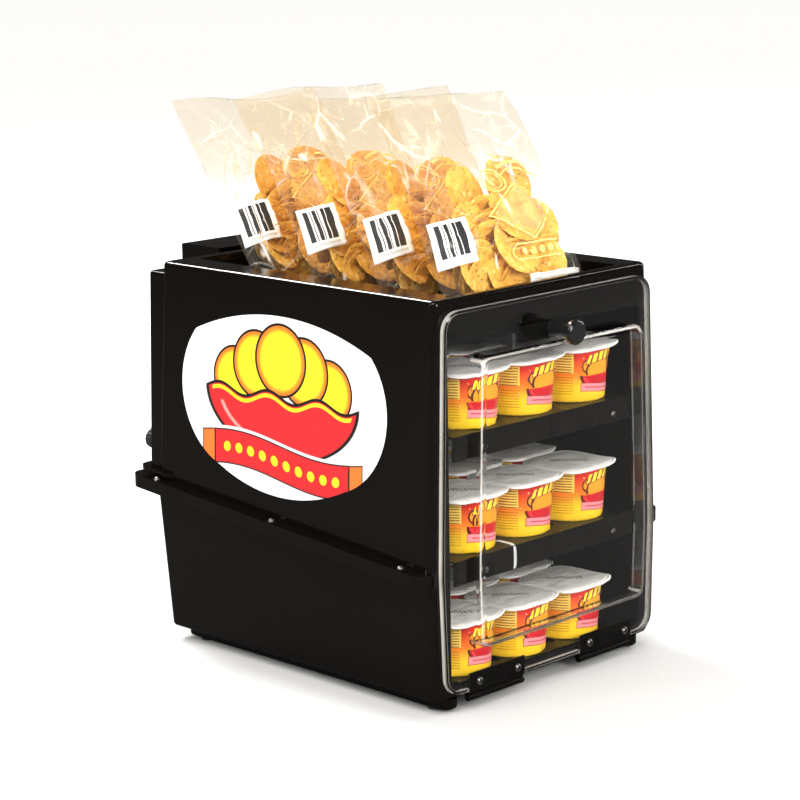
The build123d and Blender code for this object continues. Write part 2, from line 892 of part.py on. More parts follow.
def rear_cover():
    """A shallow pan that closes the service opening, with a drip ledge above the flange."""
    body = cover_prism(0, depth_top - 6, cover_back)
    body = fillet(body.edges().filter_by(Axis.Y).group_by(Axis.Z)[-1], cover_radius)
    body -= cover_prism(sheet, depth_top - 8, cover_back - sheet)
    ledge = extrude(Pos(0, (depth_top + ledge_back) / 2 - 10, 60)
                    * RectangleRounded(2 * ledge_half, ledge_back - depth_top + 20, 12), 200)
    ledge = ledge & seam_slab(ledge_rise, ledge_rise + ledge_thickness)
    body += ledge
    body -= upper_form(seam_front_z - 25, cabinet_height, -0.1)
    for x, z in cover_screw_points():
        body -= rod_y(x, z, rear_screw_radius + rear_screw_fit, depth_top - 12, cover_back + 5)
    for x, z in housing_screw_points():
        body -= rod_y(x, z, rear_screw_radius + 0.02, cover_back - 8, cover_back + 5)
    body -= rod_y(dial_x, dial_z, dial_shaft_radius + 0.3, cover_back - 8, cover_back + 5)
    body -= box(switch_x - switch_width / 2 - 0.2, switch_x + switch_width / 2 + 0.2,
                cover_back - 8, cover_back + 5,
                switch_z - switch_height / 2 - 0.2, switch_z + switch_height / 2 + 0.2)
    body -= rod_y(gland_x, gland_z, gland_neck_radius + gland_fit, cover_back - 8, cover_back + 5)
    half = housing_half - duct_frame
    duct_bottom = housing_bottom + duct_sill
    duct_top = cover_top - duct_head
    body -= box(-half, half, cover_back - 8, cover_back + 5, duct_bottom, duct_top)
    return body


def rear_housing():
    """The duct box on the back, with louvres and two screwed tabs."""
    front = cover_back
    outer = box(-housing_half, housing_half, front, housing_back, housing_bottom, cabinet_height)
    outer = fillet(outer.edges().group_by(Axis.Y)[-1], housing_radius)
    inner = box(-housing_half + sheet, housing_half - sheet, front - 1, housing_back - sheet,
                housing_bottom + sheet, cabinet_height - sheet)
    body = outer - inner
    for side in (-1, 1):
        x0 = side * housing_half
        x1 = side * (housing_half + housing_tab)
        body += box(min(x0, x1), max(x0, x1), front, front + sheet, housing_bottom, cover_top - 26)
    for x, z in housing_screw_points():
        body -= rod_y(x, z, rear_screw_radius + rear_screw_fit, front - 1, front + sheet + 1)
    for number in range(vent_count):
        z = housing_bottom + 24 + number * vent_pitch
        body -= box(-housing_half + 16, housing_half - 16, housing_back - sheet - 2, housing_back + 1,
                    z, z + vent_height)
    return body


def rear_screws():
    """The screws of the rear cover and of the duct box."""
    screws = []
    for x, z in cover_screw_points():
        head = Pos(x, cover_back, z) * Rot(-90, 0, 0) * dome(rear_screw_head, rear_screw_dome)
        screws.append(head + rod_y(x, z, rear_screw_radius, depth_top - 4, cover_back))
    for x, z in housing_screw_points():
        face = cover_back + sheet
        head = Pos(x, face, z) * Rot(-90, 0, 0) * dome(rear_screw_head, rear_screw_dome)
        screws.append(head + rod_y(x, z, rear_screw_radius, face - rear_screw_length, face))
    return joined(screws)


# --- Controls ----------------------------------------------------------------------------------
def thermostat():
    """The switch body behind the cover, with its shaft standing through the cover."""
    inside = cover_back - sheet
    half = thermostat_size / 2
    body = box(dial_x - half, dial_x + half, inside - thermostat_depth, inside,
               dial_z - half, dial_z + half)
    body = fillet(body.edges().filter_by(Axis.Y), thermostat_round)
    return body + rod_y(dial_x, dial_z, dial_shaft_radius, inside, cover_back + dial_shaft_reach)


def thermostat_knob():
    """A skirted dial with a raised pointer rib."""
    step = cover_back + dial_skirt
    height = dial_height - dial_skirt
    skirt = rod_y(dial_x, dial_z, dial_radius, cover_back + dial_gap, step)
    cone = Cone(dial_radius - dial_taper, dial_radius - 2 * dial_taper, height)
    grip = Pos(dial_x, step, dial_z) * Rot(-90, 0, 0) * Pos(0, 0, height / 2) * cone
    half = dial_rib_width / 2
    rib = box(dial_x - half, dial_x + half, step, cover_back + dial_height + dial_rib_rise,
              dial_z, dial_z + dial_radius - dial_taper - 1)
    bore = dial_shaft_radius + dial_shaft_fit
    return skirt + grip + rib - rod_y(dial_x, dial_z, bore, cover_back, cover_back + dial_shaft_reach + 0.5)


def switch_body():
    """A snap-in rocker switch housing with its bezel on the outside."""
    half_x = switch_width / 2
    half_z = switch_height / 2
    wide = half_x + bezel_width
    tall = half_z + bezel_width
    bezel = box(switch_x - wide, switch_x + wide, cover_back, cover_back + bezel_thickness,
                switch_z - tall, switch_z + tall)
    bezel = fillet(bezel.edges().filter_by(Axis.Y), bezel_round)
    block = box(switch_x - half_x, switch_x + half_x, cover_back - switch_depth, cover_back,
                switch_z - half_z, switch_z + half_z)
    wall_x = half_x - bezel_width
    wall_z = half_z - bezel_round
    recess = box(switch_x - wall_x, switch_x + wall_x, cover_back - rocker_recess, cover_back + 3,
                 switch_z - wall_z, switch_z + wall_z)
    body = bezel + block - recess
    pivot_y = cover_back - rocker_pivot_depth
    return body + rod_x(pivot_y, switch_z, rocker_pivot_radius, switch_x - half_x + 1, switch_x + half_x - 1)


def switch_rocker():
    """The rocker, a disc segment with a shallow V across its face."""
    half_x = switch_width / 2 - rocker_wall
    pivot_y = cover_back - rocker_pivot_depth
    radius = switch_height / 2 - bezel_round - 0.3
    disc = rod_x(pivot_y, switch_z, radius, switch_x - half_x, switch_x + half_x)
    reach = 2 * radius
    vee = None
    for side in (-1, 1):
        slab = Box(2 * half_x + 2, reach, reach)
        tilt = side * rocker_tilt
        offset = Pos(0, rocker_rise + reach / 2, side * reach / 2)
        wing = Pos(switch_x, pivot_y, switch_z) * Rot(tilt, 0, 0) * offset * slab
        vee = wing if vee is None else vee + wing
    part = disc - vee
    part -= box(switch_x - half_x - 1, switch_x + half_x + 1, cover_back - 30, pivot_y - rocker_cut,
                switch_z - radius - 1, switch_z + radius + 1)
    bore = rocker_pivot_radius + rocker_pivot_fit
    part -= rod_x(pivot_y, switch_z, bore, switch_x - half_x - 1, switch_x + half_x + 1)
    pivot = Axis((switch_x, pivot_y, switch_z), (1, 0, 0))
    return part.rotate(pivot, rocker_tilt)


def cord_gland():
    """The strain-relief bushing that the supply lead would leave through."""
    inside = cover_back - sheet
    face = cover_back + gland_collar
    neck = rod_y(gland_x, gland_z, gland_neck_radius, inside - gland_nut - 2, cover_back)
    collar = rod_y(gland_x, gland_z, gland_radius, cover_back, face)
    cone = Cone(gland_radius - 1.5, gland_radius - 3.5, gland_nose)
    nose = Pos(gland_x, face, gland_z) * Rot(-90, 0, 0) * Pos(0, 0, gland_nose / 2) * cone
    nut = rod_y(gland_x, gland_z, gland_radius + 0.5, inside - gland_nut, inside)
    bore = rod_y(gland_x, gland_z, gland_bore, inside - gland_nut - 5, face + gland_nose + 5)
    return neck + collar + nose + nut - bore


# --- Door --------------------------------------------------------------------------------------
def hexagon(half_top, half_seam, half_bottom, top, bottom, radius, y):
    """An upright six-sided outline, widest at the seam, with its four end corners rounded."""
    corners = [(-half_bottom, bottom), (half_bottom, bottom), (half_seam, seam_front_z),
               (half_top, top), (-half_top, top), (-half_seam, seam_front_z)]
    plane = Plane(origin=(0, y, 0), x_dir=(1, 0, 0), z_dir=(0, -1, 0))
    face = make_face(Polyline(*corners, close=True))
    ends = [v for v in face.vertices() if abs(v.Y - seam_front_z) > 1]
    face = fillet(ends, radius)
    return plane * face


def door_outline(inset, y):
    return hexagon(door_half_top - inset, door_half_seam - inset, door_half_bottom - inset,
                   door_top - inset, door_bottom + inset, door_radius - inset, y)


def bulge_outline(inset, y):
    return hexagon(bulge_half_top - inset, bulge_half_seam - inset, bulge_half_bottom - inset,
                   bulge_top - inset, bulge_bottom + inset, bulge_radius - inset, y)


def bulge_form(inset, edge):
    """The raised block of the door's middle, solid, with its front edge rounded."""
    reach = bulge_front - inset
    block = extrude(bulge_outline(inset, -door_front + door_sheet), reach - door_front + door_sheet)
    front = block.edges().group_by(Axis.Y)[0]
    return fillet(front, edge)


def hinge_spans(grow=0.0):
    spans = []
    for side in (-1, 1):
        middle = side * hinge_centre
        spans.append((middle - hinge_width / 2 - grow, middle + hinge_width / 2 + grow))
    return spans


def door_panel():
    """A drawn clear sheet: rim return, flat band and outward bulge."""
    rim = extrude(door_outline(0, -door_gap), door_front - door_gap)
    rim -= extrude(door_outline(door_sheet, -door_gap + 1), door_front - door_gap - door_sheet + 1)
    panel = rim + bulge_form(0, bulge_edge) - bulge_form(door_sheet, bulge_edge - door_sheet)
    for x0, x1 in hinge_spans(1.0):
        panel -= box(x0, x1, -door_front + door_sheet, 1, door_bottom - 1, door_bottom + door_sheet + 1)
    for x, z in door_leaf_screw_points():
        panel -= rod_y(x, z, hinge_screw_radius + screw_fit, -door_front - 2, 0)
    panel -= rod_y(0, knob_z, knob_screw_radius + screw_fit, -door_front - 2, 0)
    return panel


def knob():
    """A turned pull: a broad stem, a slightly waisted neck and a domed head."""
    y0 = -door_front
    head_back = y0 - knob_reach + knob_head_thickness
    stem = rod_y(0, knob_z, knob_stem_radius, head_back, y0)
    head = rod_y(0, knob_z, knob_head_radius, head_back - knob_head_thickness, head_back)
    head = fillet(head.edges().group_by(Axis.Y)[0], knob_head_round)
    part = stem + head
    return part - rod_y(0, knob_z, knob_screw_radius + knob_screw_grip, y0 - knob_screw_depth - 2, y0 + 1)


def knob_screw():
    """The screw from inside the door, through the strike plate into the knob."""
    inside = -door_front + door_sheet + strike_sheet
    shank = rod_y(0, knob_z, knob_screw_radius, -door_front - knob_screw_depth, inside)
    return shank + rod_y(0, knob_z, knob_screw_head, inside, inside + knob_screw_head_thickness)


def strike_plate():
    inside = -door_front + door_sheet
    half = strike_width / 2
    part = box(-half, half, inside, inside + strike_sheet,
               knob_z - strike_height / 2, knob_z + strike_height / 2)
    part = fillet(part.edges().filter_by(Axis.Y), 2)
    return part - rod_y(0, knob_z, knob_screw_radius + 0.05, inside - 1, inside + 3)


def catch_body():
    """The magnet holder under the header, screwed up into the well floor."""
    half = catch_width / 2
    top = well_floor - sheet
    part = box(-half, half, -catch_proud, catch_depth - catch_proud, top - catch_height, top)
    part = fillet(part.edges().filter_by(Axis.Z), 2)
    for side in (-1, 1):
        x = side * magnet_spacing / 2
        part -= box(x - magnet_width / 2, x + magnet_width / 2, -catch_proud - 1, magnet_back,
                    top - catch_height + magnet_floor, top - magnet_roof)
    return part


def catch_magnets():
    top = well_floor - sheet
    face = -door_front + door_sheet + strike_sheet + magnet_gap
    magnets = []
    for side in (-1, 1):
        x = side * magnet_spacing / 2
        magnets.append(box(x - magnet_width / 2, x + magnet_width / 2, face, magnet_back,
                           top - catch_height + magnet_floor, top - magnet_roof))
    return joined(magnets)


# --- Hinges ------------------------------------------------------------------------------------
def leaf_screw_offsets():
    return [side * hinge_centre + share * hinge_screw_spacing / 2 for side in (-1, 1) for share in (-1, 1)]


def door_leaf_screw_points():
    return [(x, door_bottom + door_screw_rise) for x in leaf_screw_offsets()]


def body_leaf_screw_points():
    return [(x, body_leaf_top - body_screw_drop) for x in leaf_screw_offsets()]


def knuckles(middle, moving):
    """Barrel lengths along X: two outer ones on the cabinet leaf, one long one on the door leaf."""
    third = hinge_width / 4
    start = middle - hinge_width / 2
    end = middle + hinge_width / 2
    if moving:
        return [(start + third + knuckle_gap, end - third - knuckle_gap)]
    return [(start, start + third), (end - third, end)]


def barrel(middle, moving):
    part = None
    for x0, x1 in knuckles(middle, moving):
        tube = rod_x(hinge_axis_y, hinge_axis_z, barrel_radius, x0, x1)
        part = tube if part is None else part + tube
    return part


def barrel_bore(middle):
    half = hinge_width / 2 + 1
    return rod_x(hinge_axis_y, hinge_axis_z, pin_radius + pin_clearance, middle - half, middle + half)


def door_leaf(side):
    """The moving leaf: a plate behind the clear door, joined to its knuckle."""
    middle = side * hinge_centre
    y0 = -door_front + door_sheet
    plate = box(middle - hinge_width / 2, middle + hinge_width / 2, y0, y0 + leaf_sheet,
                hinge_axis_z + barrel_radius + 2 * leaf_gap, door_leaf_top)
    part = plate
    for x0, x1 in knuckles(middle, True):
        part += box(x0, x1, y0, y0 + leaf_sheet, hinge_axis_z, door_leaf_top)
    part += barrel(middle, True)
    part -= barrel_bore(middle)
    for x, z in door_leaf_screw_points():
        part -= rod_y(x, z, hinge_screw_radius + 0.02, y0 - 1, y0 + 4)
    return part


def body_leaf(side):
    """The fixed leaf, screwed to the sill."""
    middle = side * hinge_centre
    part = box(middle - hinge_width / 2, middle + hinge_width / 2, -leaf_sheet, 0,
               hinge_axis_z + barrel_radius + leaf_gap, body_leaf_top)
    for x0, x1 in knuckles(middle, False):
        part += box(x0, x1, -leaf_sheet, 0, hinge_axis_z, body_leaf_top) \
            - box(x0, x1, -leaf_sheet, 1, hinge_axis_z - 1, hinge_axis_z)
    part += barrel(middle, False)
    part -= barrel_bore(middle)
    for x, z in body_leaf_screw_points():
        part -= rod_y(x, z, body_screw_radius + screw_fit, -6, 4)
    return part


def hinge_pins():
    pins = []
    for side in (-1, 1):
        middle = side * hinge_centre
        half = hinge_width / 2
        pin = rod_x(hinge_axis_y, hinge_axis_z, pin_radius, middle - half, middle + half)
        for end in (-1, 1):
            x = middle + end * half
            tip = x + end * pin_head
            pin += rod_x(hinge_axis_y, hinge_axis_z, pin_radius + pin_head_rise, min(x, tip), max(x, tip))
        pins.append(pin)
    return joined(pins)


def door_hinge_screws():
    """Domed screws through the clear door and its leaves, with nuts inside."""
    front = -door_front
    inside = front + door_sheet + leaf_sheet
    screws = []
    for x, z in door_leaf_screw_points():
        head = Pos(x, front, z) * Rot(90, 0, 0) * dome(dome_radius, dome_height)
        shank = rod_y(x, z, hinge_screw_radius, front, inside)
        nut = rod_y(x, z, hinge_nut_radius, inside, inside + hinge_nut_thickness)
        screws.append(head + shank + nut)
    return joined(screws)


def body_hinge_screws():
    screws = []
    for x, z in body_leaf_screw_points():
        head = Pos(x, -leaf_sheet, z) * Rot(90, 0, 0) * dome(body_screw_head, body_screw_dome)
        screws.append(head + rod_y(x, z, body_screw_radius, -leaf_sheet, body_screw_depth))
    return joined(screws)


# --- Badges ------------------------------------------------------------------------------------
def badge_face(width, height):
    """A shield-like badge: flat top with round corners and a belly below."""
    half = width / 2
    rise = height / 2
    crown = ThreePointArc((-half * 0.86, rise * 0.72), (0, rise), (half * 0.86, rise * 0.72))
    right = ThreePointArc((half * 0.86, rise * 0.72), (half, -rise * 0.1), (half * 0.62, -rise * 0.78))
    belly = ThreePointArc((half * 0.62, -rise * 0.78), (0, -rise), (-half * 0.62, -rise * 0.78))
    left = ThreePointArc((-half * 0.62, -rise * 0.78), (-half, -rise * 0.1), (-half * 0.86, rise * 0.72))
    return make_face(Wire([crown, right, belly, left]))


def badge(side):
    """A thin label that lies on the drafted side wall."""
    low = badge_centre_z - badge_height
    high = badge_centre_z + badge_height / 2 + 10
    skin = upper_form(low, high, -badge_thickness) - upper_form(low - 1, high + 1)
    plane = Plane(origin=(100, badge_centre_y, badge_centre_z), x_dir=(0, 1, 0), z_dir=(1, 0, 0))
    part = skin & extrude(plane * badge_face(badge_width, badge_height), 100)
    if side < 0:
        part = mirror(part, about=Plane.YZ)
    return part


# --- Chip bags ---------------------------------------------------------------------------------
def bag_profile(width, height, seal):
    """A pillow outline: thin at both seals and fullest below the middle."""
    half = width / 2
    thin = seal / 2
    right = Spline((thin, 0), (half * 0.92, height * 0.16), (half, height * 0.36),
                   (half * 0.5, height * 0.74), (thin, height))
    left = Spline((-thin, height), (-half * 0.5, height * 0.74), (-half, height * 0.36),
                  (-half * 0.92, height * 0.16), (-thin, 0))
    return make_face(Wire([Line((-thin, 0), (thin, 0)), right, Line((thin, height), (-thin, height)), left]))


def bag_plan():
    """The bag seen from above: full in the middle, narrowing to its folded sides."""
    half = bag_width / 2
    deep = bag_thickness / 2 + 1
    back = ThreePointArc((half, bag_seal), (0, deep * 1.15), (-half, bag_seal))
    front = ThreePointArc((-half, -bag_seal), (0, -deep * 1.15), (half, -bag_seal))
    return make_face(Wire([back, Line((-half, bag_seal), (-half, -bag_seal)), front,
                           Line((half, -bag_seal), (half, bag_seal))]))


def bag(number):
    """One filled bag, standing in the well and leaning back."""
    y, lean = bag_places[number]
    plane = Plane(origin=(-bag_width / 2, 0, 0), x_dir=(0, 1, 0), z_dir=(1, 0, 0))
    side_form = extrude(plane * bag_profile(bag_thickness, bag_length, bag_seal), bag_width)
    pillow = side_form & extrude(bag_plan(), bag_length)
    lift = bag_floor_gap + bag_seal * sin(radians(lean))
    return Pos(0, y, well_floor + lift) * Rot(-lean, 0, 0) * pillow


def place(part):
    """Move from the cabinet frame to the model frame, centred front to back."""
    return Pos(0, centre_shift, 0) * part


def nodes():
    """Every sub-part by name."""
    parts = {
        "lower_shell": lower_shell(),
        "upper_shell": upper_shell(),
        "cabinet_screws": cabinet_screws(),
        "runner_left": runner(-1),
        "runner_right": runner(1),
        "rack_side_left": rack_side(-1),
        "rack_side_right": rack_side(1),
        "shelf_rivets": shelf_rivets(),
        "cable_tie": cable_tie(),
        "back_panel": back_panel(),
        "fan_frame": fan_frame(),
        "fan_rotor": fan_rotor(),
        "fan_screws": fan_screws(),
        "heater_element": heater_element(),
        "heater_clips": heater_clips(),
        "rear_cover": rear_cover(),
        "rear_housing": rear_housing(),
        "rear_screws": rear_screws(),
        "thermostat": thermostat(),
        "thermostat_knob": thermostat_knob(),
        "switch_body": switch_body(),
        "switch_rocker": switch_rocker(),
        "cord_gland": cord_gland(),
        "door_panel": door_panel(),
        "door_knob": knob(),
        "knob_screw": knob_screw(),
        "strike_plate": strike_plate(),
        "catch_body": catch_body(),
        "catch_magnets": catch_magnets(),
        "door_leaf_left": door_leaf(-1),
        "door_leaf_right": door_leaf(1),
        "body_leaf_left": body_leaf(-1),
        "body_leaf_right": body_leaf(1),
        "hinge_pins": hinge_pins(),
        "door_hinge_screws": door_hinge_screws(),
        "body_hinge_screws": body_hinge_screws(),
        "badge_left": badge(-1),
        "badge_right": badge(1),
    }
    for end, row in (("front", 0), ("rear", 1)):
        parts["foot_left_" + end] = foot(-1, row)
        parts["foot_right_" + end] = foot(1, row)
    for tier, name in enumerate(("bottom", "middle", "top")):
        parts["shelf_" + name] = shelf(tier)
        parts["cups_" + name] = cups(tier)
        if tier > 0:
            for side, hand in ((-1, "left"), (1, "right")):
                parts["rail_" + name + "_" + hand] = rail(tier, side)
                parts["lip_" + name + "_" + hand] = lip(tier, side)
    for number in range(len(bag_places)):
        parts["chip_bag_" + str(number + 1)] = bag(number)
    return parts


def main():
    os.makedirs("parts", exist_ok=True)
    for name, part in nodes().items():
        export_step(place(part), "parts/" + name + ".step")


main()
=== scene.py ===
import json
import random
from math import atan2, cos, pi, radians, sin

import bmesh
import bpy
from bpy.props import FloatProperty, FloatVectorProperty, IntProperty, PointerProperty
from mathutils import Euler, Matrix, Vector, noise


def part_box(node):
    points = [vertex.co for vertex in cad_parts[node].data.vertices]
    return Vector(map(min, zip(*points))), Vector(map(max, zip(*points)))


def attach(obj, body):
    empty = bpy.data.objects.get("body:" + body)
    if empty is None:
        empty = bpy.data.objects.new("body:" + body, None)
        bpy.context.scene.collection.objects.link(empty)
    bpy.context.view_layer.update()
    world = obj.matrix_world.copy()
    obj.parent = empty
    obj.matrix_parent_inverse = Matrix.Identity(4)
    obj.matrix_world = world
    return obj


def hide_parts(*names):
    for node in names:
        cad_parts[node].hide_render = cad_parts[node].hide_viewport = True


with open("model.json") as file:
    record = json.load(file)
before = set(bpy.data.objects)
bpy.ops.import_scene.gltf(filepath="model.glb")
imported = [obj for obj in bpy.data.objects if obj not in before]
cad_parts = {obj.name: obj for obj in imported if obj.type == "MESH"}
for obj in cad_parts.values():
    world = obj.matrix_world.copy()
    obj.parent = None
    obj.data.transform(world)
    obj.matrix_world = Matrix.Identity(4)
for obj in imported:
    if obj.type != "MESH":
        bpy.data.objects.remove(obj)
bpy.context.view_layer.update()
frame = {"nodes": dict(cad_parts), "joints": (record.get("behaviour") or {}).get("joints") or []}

bl_info = {
    "name": "Cheese cup warmer finishes",
    "version": (1, 0, 0),
    "blender": (4, 5, 0),
    "location": "3D View > Sidebar > Warmer",
    "description": "Finishes and soft goods for a countertop cheese cup warmer with a chip well",
    "category": "Object",
}

CABINET = "cabinet"
MM = 0.001


# --- Shader wiring -----------------------------------------------------------------------------
class Wire:
    """A socket of a finish being made. Arithmetic on wires adds Math nodes."""

    def __init__(self, finish, socket):
        self.finish = finish
        self.socket = socket

    def math(self, operation, *others):
        return self.finish.node("Math", {"operation": operation}, [self, *others])

    def after(self, operation, other):
        return self.finish.node("Math", {"operation": operation}, [other, self])

    def __add__(self, other):
        return self.math("ADD", other)

    def __radd__(self, other):
        return self.math("ADD", other)

    def __sub__(self, other):
        return self.math("SUBTRACT", other)

    def __rsub__(self, other):
        return self.after("SUBTRACT", other)

    def __mul__(self, other):
        return self.math("MULTIPLY", other)

    def __rmul__(self, other):
        return self.math("MULTIPLY", other)

    def __truediv__(self, other):
        return self.math("DIVIDE", other)

    def __pow__(self, other):
        return self.math("POWER", other)

    def __abs__(self):
        return self.math("ABSOLUTE")

    def above(self, edge, soft=0.01):
        """1 where the value is over edge, 0 under it, with a soft step between."""
        return self.finish.node("MapRange", {"interpolation_type": "SMOOTHSTEP"},
                                {"Value": self, "From Min": edge - soft, "From Max": edge + soft})

    def below(self, edge, soft=0.01):
        return 1 - self.above(edge, soft)

    def either(self, other):
        return self.math("MAXIMUM", other)

    def near(self, centre, half, soft=0.01):
        """1 within half of centre."""
        return abs(self - centre).below(half, soft)


class Finish:
    """One material, built from wires."""

    def __init__(self, name):
        self.material = bpy.data.materials.new(name)
        self.material.use_nodes = True
        self.tree = self.material.node_tree
        self.tree.nodes.clear()
        self.output = self.tree.nodes.new("ShaderNodeOutputMaterial")

    def feed(self, socket, value):
        if isinstance(value, Wire):
            self.tree.links.new(value.socket, socket)
        elif isinstance(value, (tuple, list)) and len(value) == 3 and socket.type == "RGBA":
            socket.default_value = (*value, 1.0)
        else:
            socket.default_value = value

    def node(self, kind, settings=None, inputs=(), output=0):
        made = self.tree.nodes.new("ShaderNode" + kind)
        for name, value in (settings or {}).items():
            if name == "stops":
                self.set_stops(made.color_ramp.elements, value)
            else:
                setattr(made, name, value)
        pairs = inputs.items() if isinstance(inputs, dict) else enumerate(inputs)
        for key, value in pairs:
            self.feed(made.inputs[key], value)
        return Wire(self, made.outputs[output])

    @staticmethod
    def set_stops(elements, stops):
        while len(elements) > 1:
            elements.remove(elements[-1])
        elements[0].position = stops[0][0]
        elements[0].color = (*stops[0][1], 1.0)
        for place, colour in stops[1:]:
            made = elements.new(place)
            made.color = (*colour, 1.0)

    def at(self):
        """Where a point is on the piece."""
        return self.node("TexCoord", output=3)

    def map_at(self):
        """Where a point is on the piece's own map."""
        return self.node("TexCoord", output=2)

    def parts(self, vector):
        split = self.node("SeparateXYZ", None, [vector])
        outputs = split.socket.node.outputs
        return [Wire(self, outputs[i]) for i in range(3)]

    def stretch(self, vector, scale, turn=(0, 0, 0)):
        return self.node("Mapping", None, {"Vector": vector, "Scale": scale, "Rotation": turn})

    def noise(self, vector, scale, detail=3.0, rough=0.5):
        return self.node("TexNoise", None,
                         {"Vector": vector, "Scale": scale, "Detail": detail, "Roughness": rough})

    def cells(self, vector, scale, feature="F1", spread=1.0):
        return self.node("TexVoronoi", {"feature": feature},
                         {"Vector": vector, "Scale": scale, "Randomness": spread})

    def ramp(self, value, stops):
        return self.node("ValToRGB", {"stops": stops}, [value])

    def paint(self, share, under, over, mode="MIX"):
        return self.node("Mix", {"data_type": "RGBA", "blend_type": mode},
                         {0: share, 6: under, 7: over}, 2)

    def relief(self, height, depth, strength=1.0, base=None):
        inputs = {"Strength": strength, "Distance": depth, "Height": height}
        if base is not None:
            inputs["Normal"] = base
        return self.node("Bump", None, inputs)

    def shader(self, **sockets):
        names = {key.replace("_", " "): value for key, value in sockets.items()}
        return self.node("BsdfPrincipled", None, names)

    def show(self, shader):
        self.tree.links.new(shader.socket, self.output.inputs["Surface"])
        return self.material

    def coat(self, base, rough, normal, **sockets):
        """Ends the material as one plain surface."""
        return self.show(self.shader(Base_Color=base, Roughness=rough, Normal=normal, **sockets))


# --- Finishes ----------------------------------------------------------------------------------
def formed_plastic(name, colour, gloss):
    """Glossy black sheet, drawn over a mould: faint ripple, dust and fine scuffs."""
    f = Finish(name)
    at = f.at()
    ripple = f.noise(at, 9.0, 2.0)
    grain = f.noise(at, 420.0, 2.0)
    scuff = f.noise(f.stretch(at, (30.0, 6.0, 90.0), (0.3, 0.2, 0.5)), 14.0, 6.0, 0.7)
    scuffs = scuff.above(0.66, 0.03)
    dust = f.cells(at, 260.0).below(0.07, 0.03) * f.noise(at, 30.0).above(0.62, 0.06)
    warm = f.paint(ripple, colour, tuple(c * 1.7 for c in colour))
    base = f.paint(dust * 0.22, warm, (0.16, 0.15, 0.14))
    rough = gloss + scuffs * 0.07 + dust * 0.3 + grain * 0.02
    bumps = f.relief(ripple, 0.0012, 0.35)
    bumps = f.relief(grain, 0.00004, 0.3, bumps)
    return f.coat(base, rough, bumps, Specular_IOR_Level=0.26, Coat_Weight=0.06, Coat_Roughness=0.05)


def clear_sheet(name, colour, band):
    """Drawn clear plastic with fine scratches; a pale painted highlight is mixed over its bends and its rim
    (y over band).
    """
    f = Finish(name)
    at = f.at()
    scratch = f.noise(f.stretch(at, (8.0, 8.0, 60.0), (0.2, 0.1, 0.4)), 20.0, 5.0, 0.75).above(0.7, 0.02)
    draw_marks = f.noise(f.stretch(at, (30.0, 30.0, 2.0)), 4.0, 2.0)
    bumps = f.relief(draw_marks, 0.0006, 0.15)
    clear = f.shader(Base_Color=colour, Roughness=0.015 + scratch * 0.12, Normal=bumps, IOR=1.45,
                     Transmission_Weight=1.0, Specular_IOR_Level=0.15)
    sides = [abs(side) for side in f.parts(f.node("NewGeometry", output=1))]
    flat = sides[0].either(sides[1]).either(sides[2])
    _, y, _ = f.parts(at)
    rim = y.above(band, 0.0003) * sides[0].either(sides[2]).above(0.7, 0.1)
    # Painted highlight: a pale matt surface is mixed in where the sheet bends and along its rim, standing in
    # for bright edge lines.
    edge = (flat.below(0.79, 0.05) * 0.75).either(rim * 0.7) * f.noise(at, 7.0, 2.0)
    bright = f.shader(Base_Color=(0.8, 0.76, 0.7), Roughness=0.25)
    glass_and_painted_highlight = f.node("MixShader", None, [edge.math("MINIMUM", 0.7) * 0.85, clear, bright])
    through = f.node("BsdfTransparent", None, [(0.97, 0.97, 0.97)])
    lamp = f.node("LightPath", output=1)
    return f.show(f.node("MixShader", None, [lamp, glass_and_painted_highlight, through]))


def moulded_plastic(name, colour, rough, coat=0.0):
    """Moulded plastic with a fine spark-eroded grain."""
    f = Finish(name)
    at = f.at()
    grain = f.noise(at, 900.0, 3.0)
    cloud = f.noise(at, 25.0)
    base = f.paint(cloud, colour, tuple(min(1.0, c * 1.35) for c in colour))
    return f.coat(base, rough + grain * 0.08, f.relief(grain, 0.00005, 0.35), Coat_Weight=coat)


def painted_sheet(name, colour, rough):
    """Black painted sheet steel with orange peel and rubbed spots."""
    f = Finish(name)
    at = f.at()
    peel = f.noise(at, 300.0, 2.0)
    rub = f.noise(at, 22.0, 5.0, 0.65).above(0.62, 0.08)
    base = f.paint(rub * 0.5, colour, tuple(c * 2.6 + 0.004 for c in colour))
    return f.coat(base, rough - rub * 0.08 + peel * 0.05, f.relief(peel, 0.00008, 0.5),
                  Specular_IOR_Level=0.12)


def bare_metal(name, colour, rough, along=(1.0, 1.0, 12.0)):
    """Bare metal with drawn grain and faint stains."""
    f = Finish(name)
    at = f.at()
    grain = f.noise(f.stretch(at, along), 160.0, 4.0, 0.6)
    stain = f.noise(at, 18.0, 4.0)
    base = f.paint(stain, colour, tuple(c * 0.68 for c in colour))
    return f.coat(base, rough + grain * 0.16 + stain * 0.06, f.relief(grain, 0.00004, 0.4), Metallic=1.0)


def heated_steel(name, colour):
    """Heater sheath: steel that has turned straw and blue in bands."""
    f = Finish(name)
    at = f.at()
    band = f.noise(at, 35.0, 3.0)
    base = f.ramp(band, [(0.3, colour), (0.5, (0.42, 0.25, 0.1)), (0.62, (0.16, 0.12, 0.2)),
                         (0.75, (0.3, 0.27, 0.25))])
    return f.coat(base, 0.35 + band * 0.25, f.relief(f.noise(at, 600.0), 0.00005, 0.4), Metallic=0.9)


def soft_rubber(name, colour):
    f = Finish(name)
    at = f.at()
    fine = f.noise(at, 1200.0, 2.0)
    dust = f.noise(at, 60.0, 4.0).above(0.58, 0.1)
    base = f.paint(dust * 0.25, colour, (0.12, 0.115, 0.105))
    return f.coat(base, 0.72 + fine * 0.15, f.relief(fine, 0.00008, 0.6))


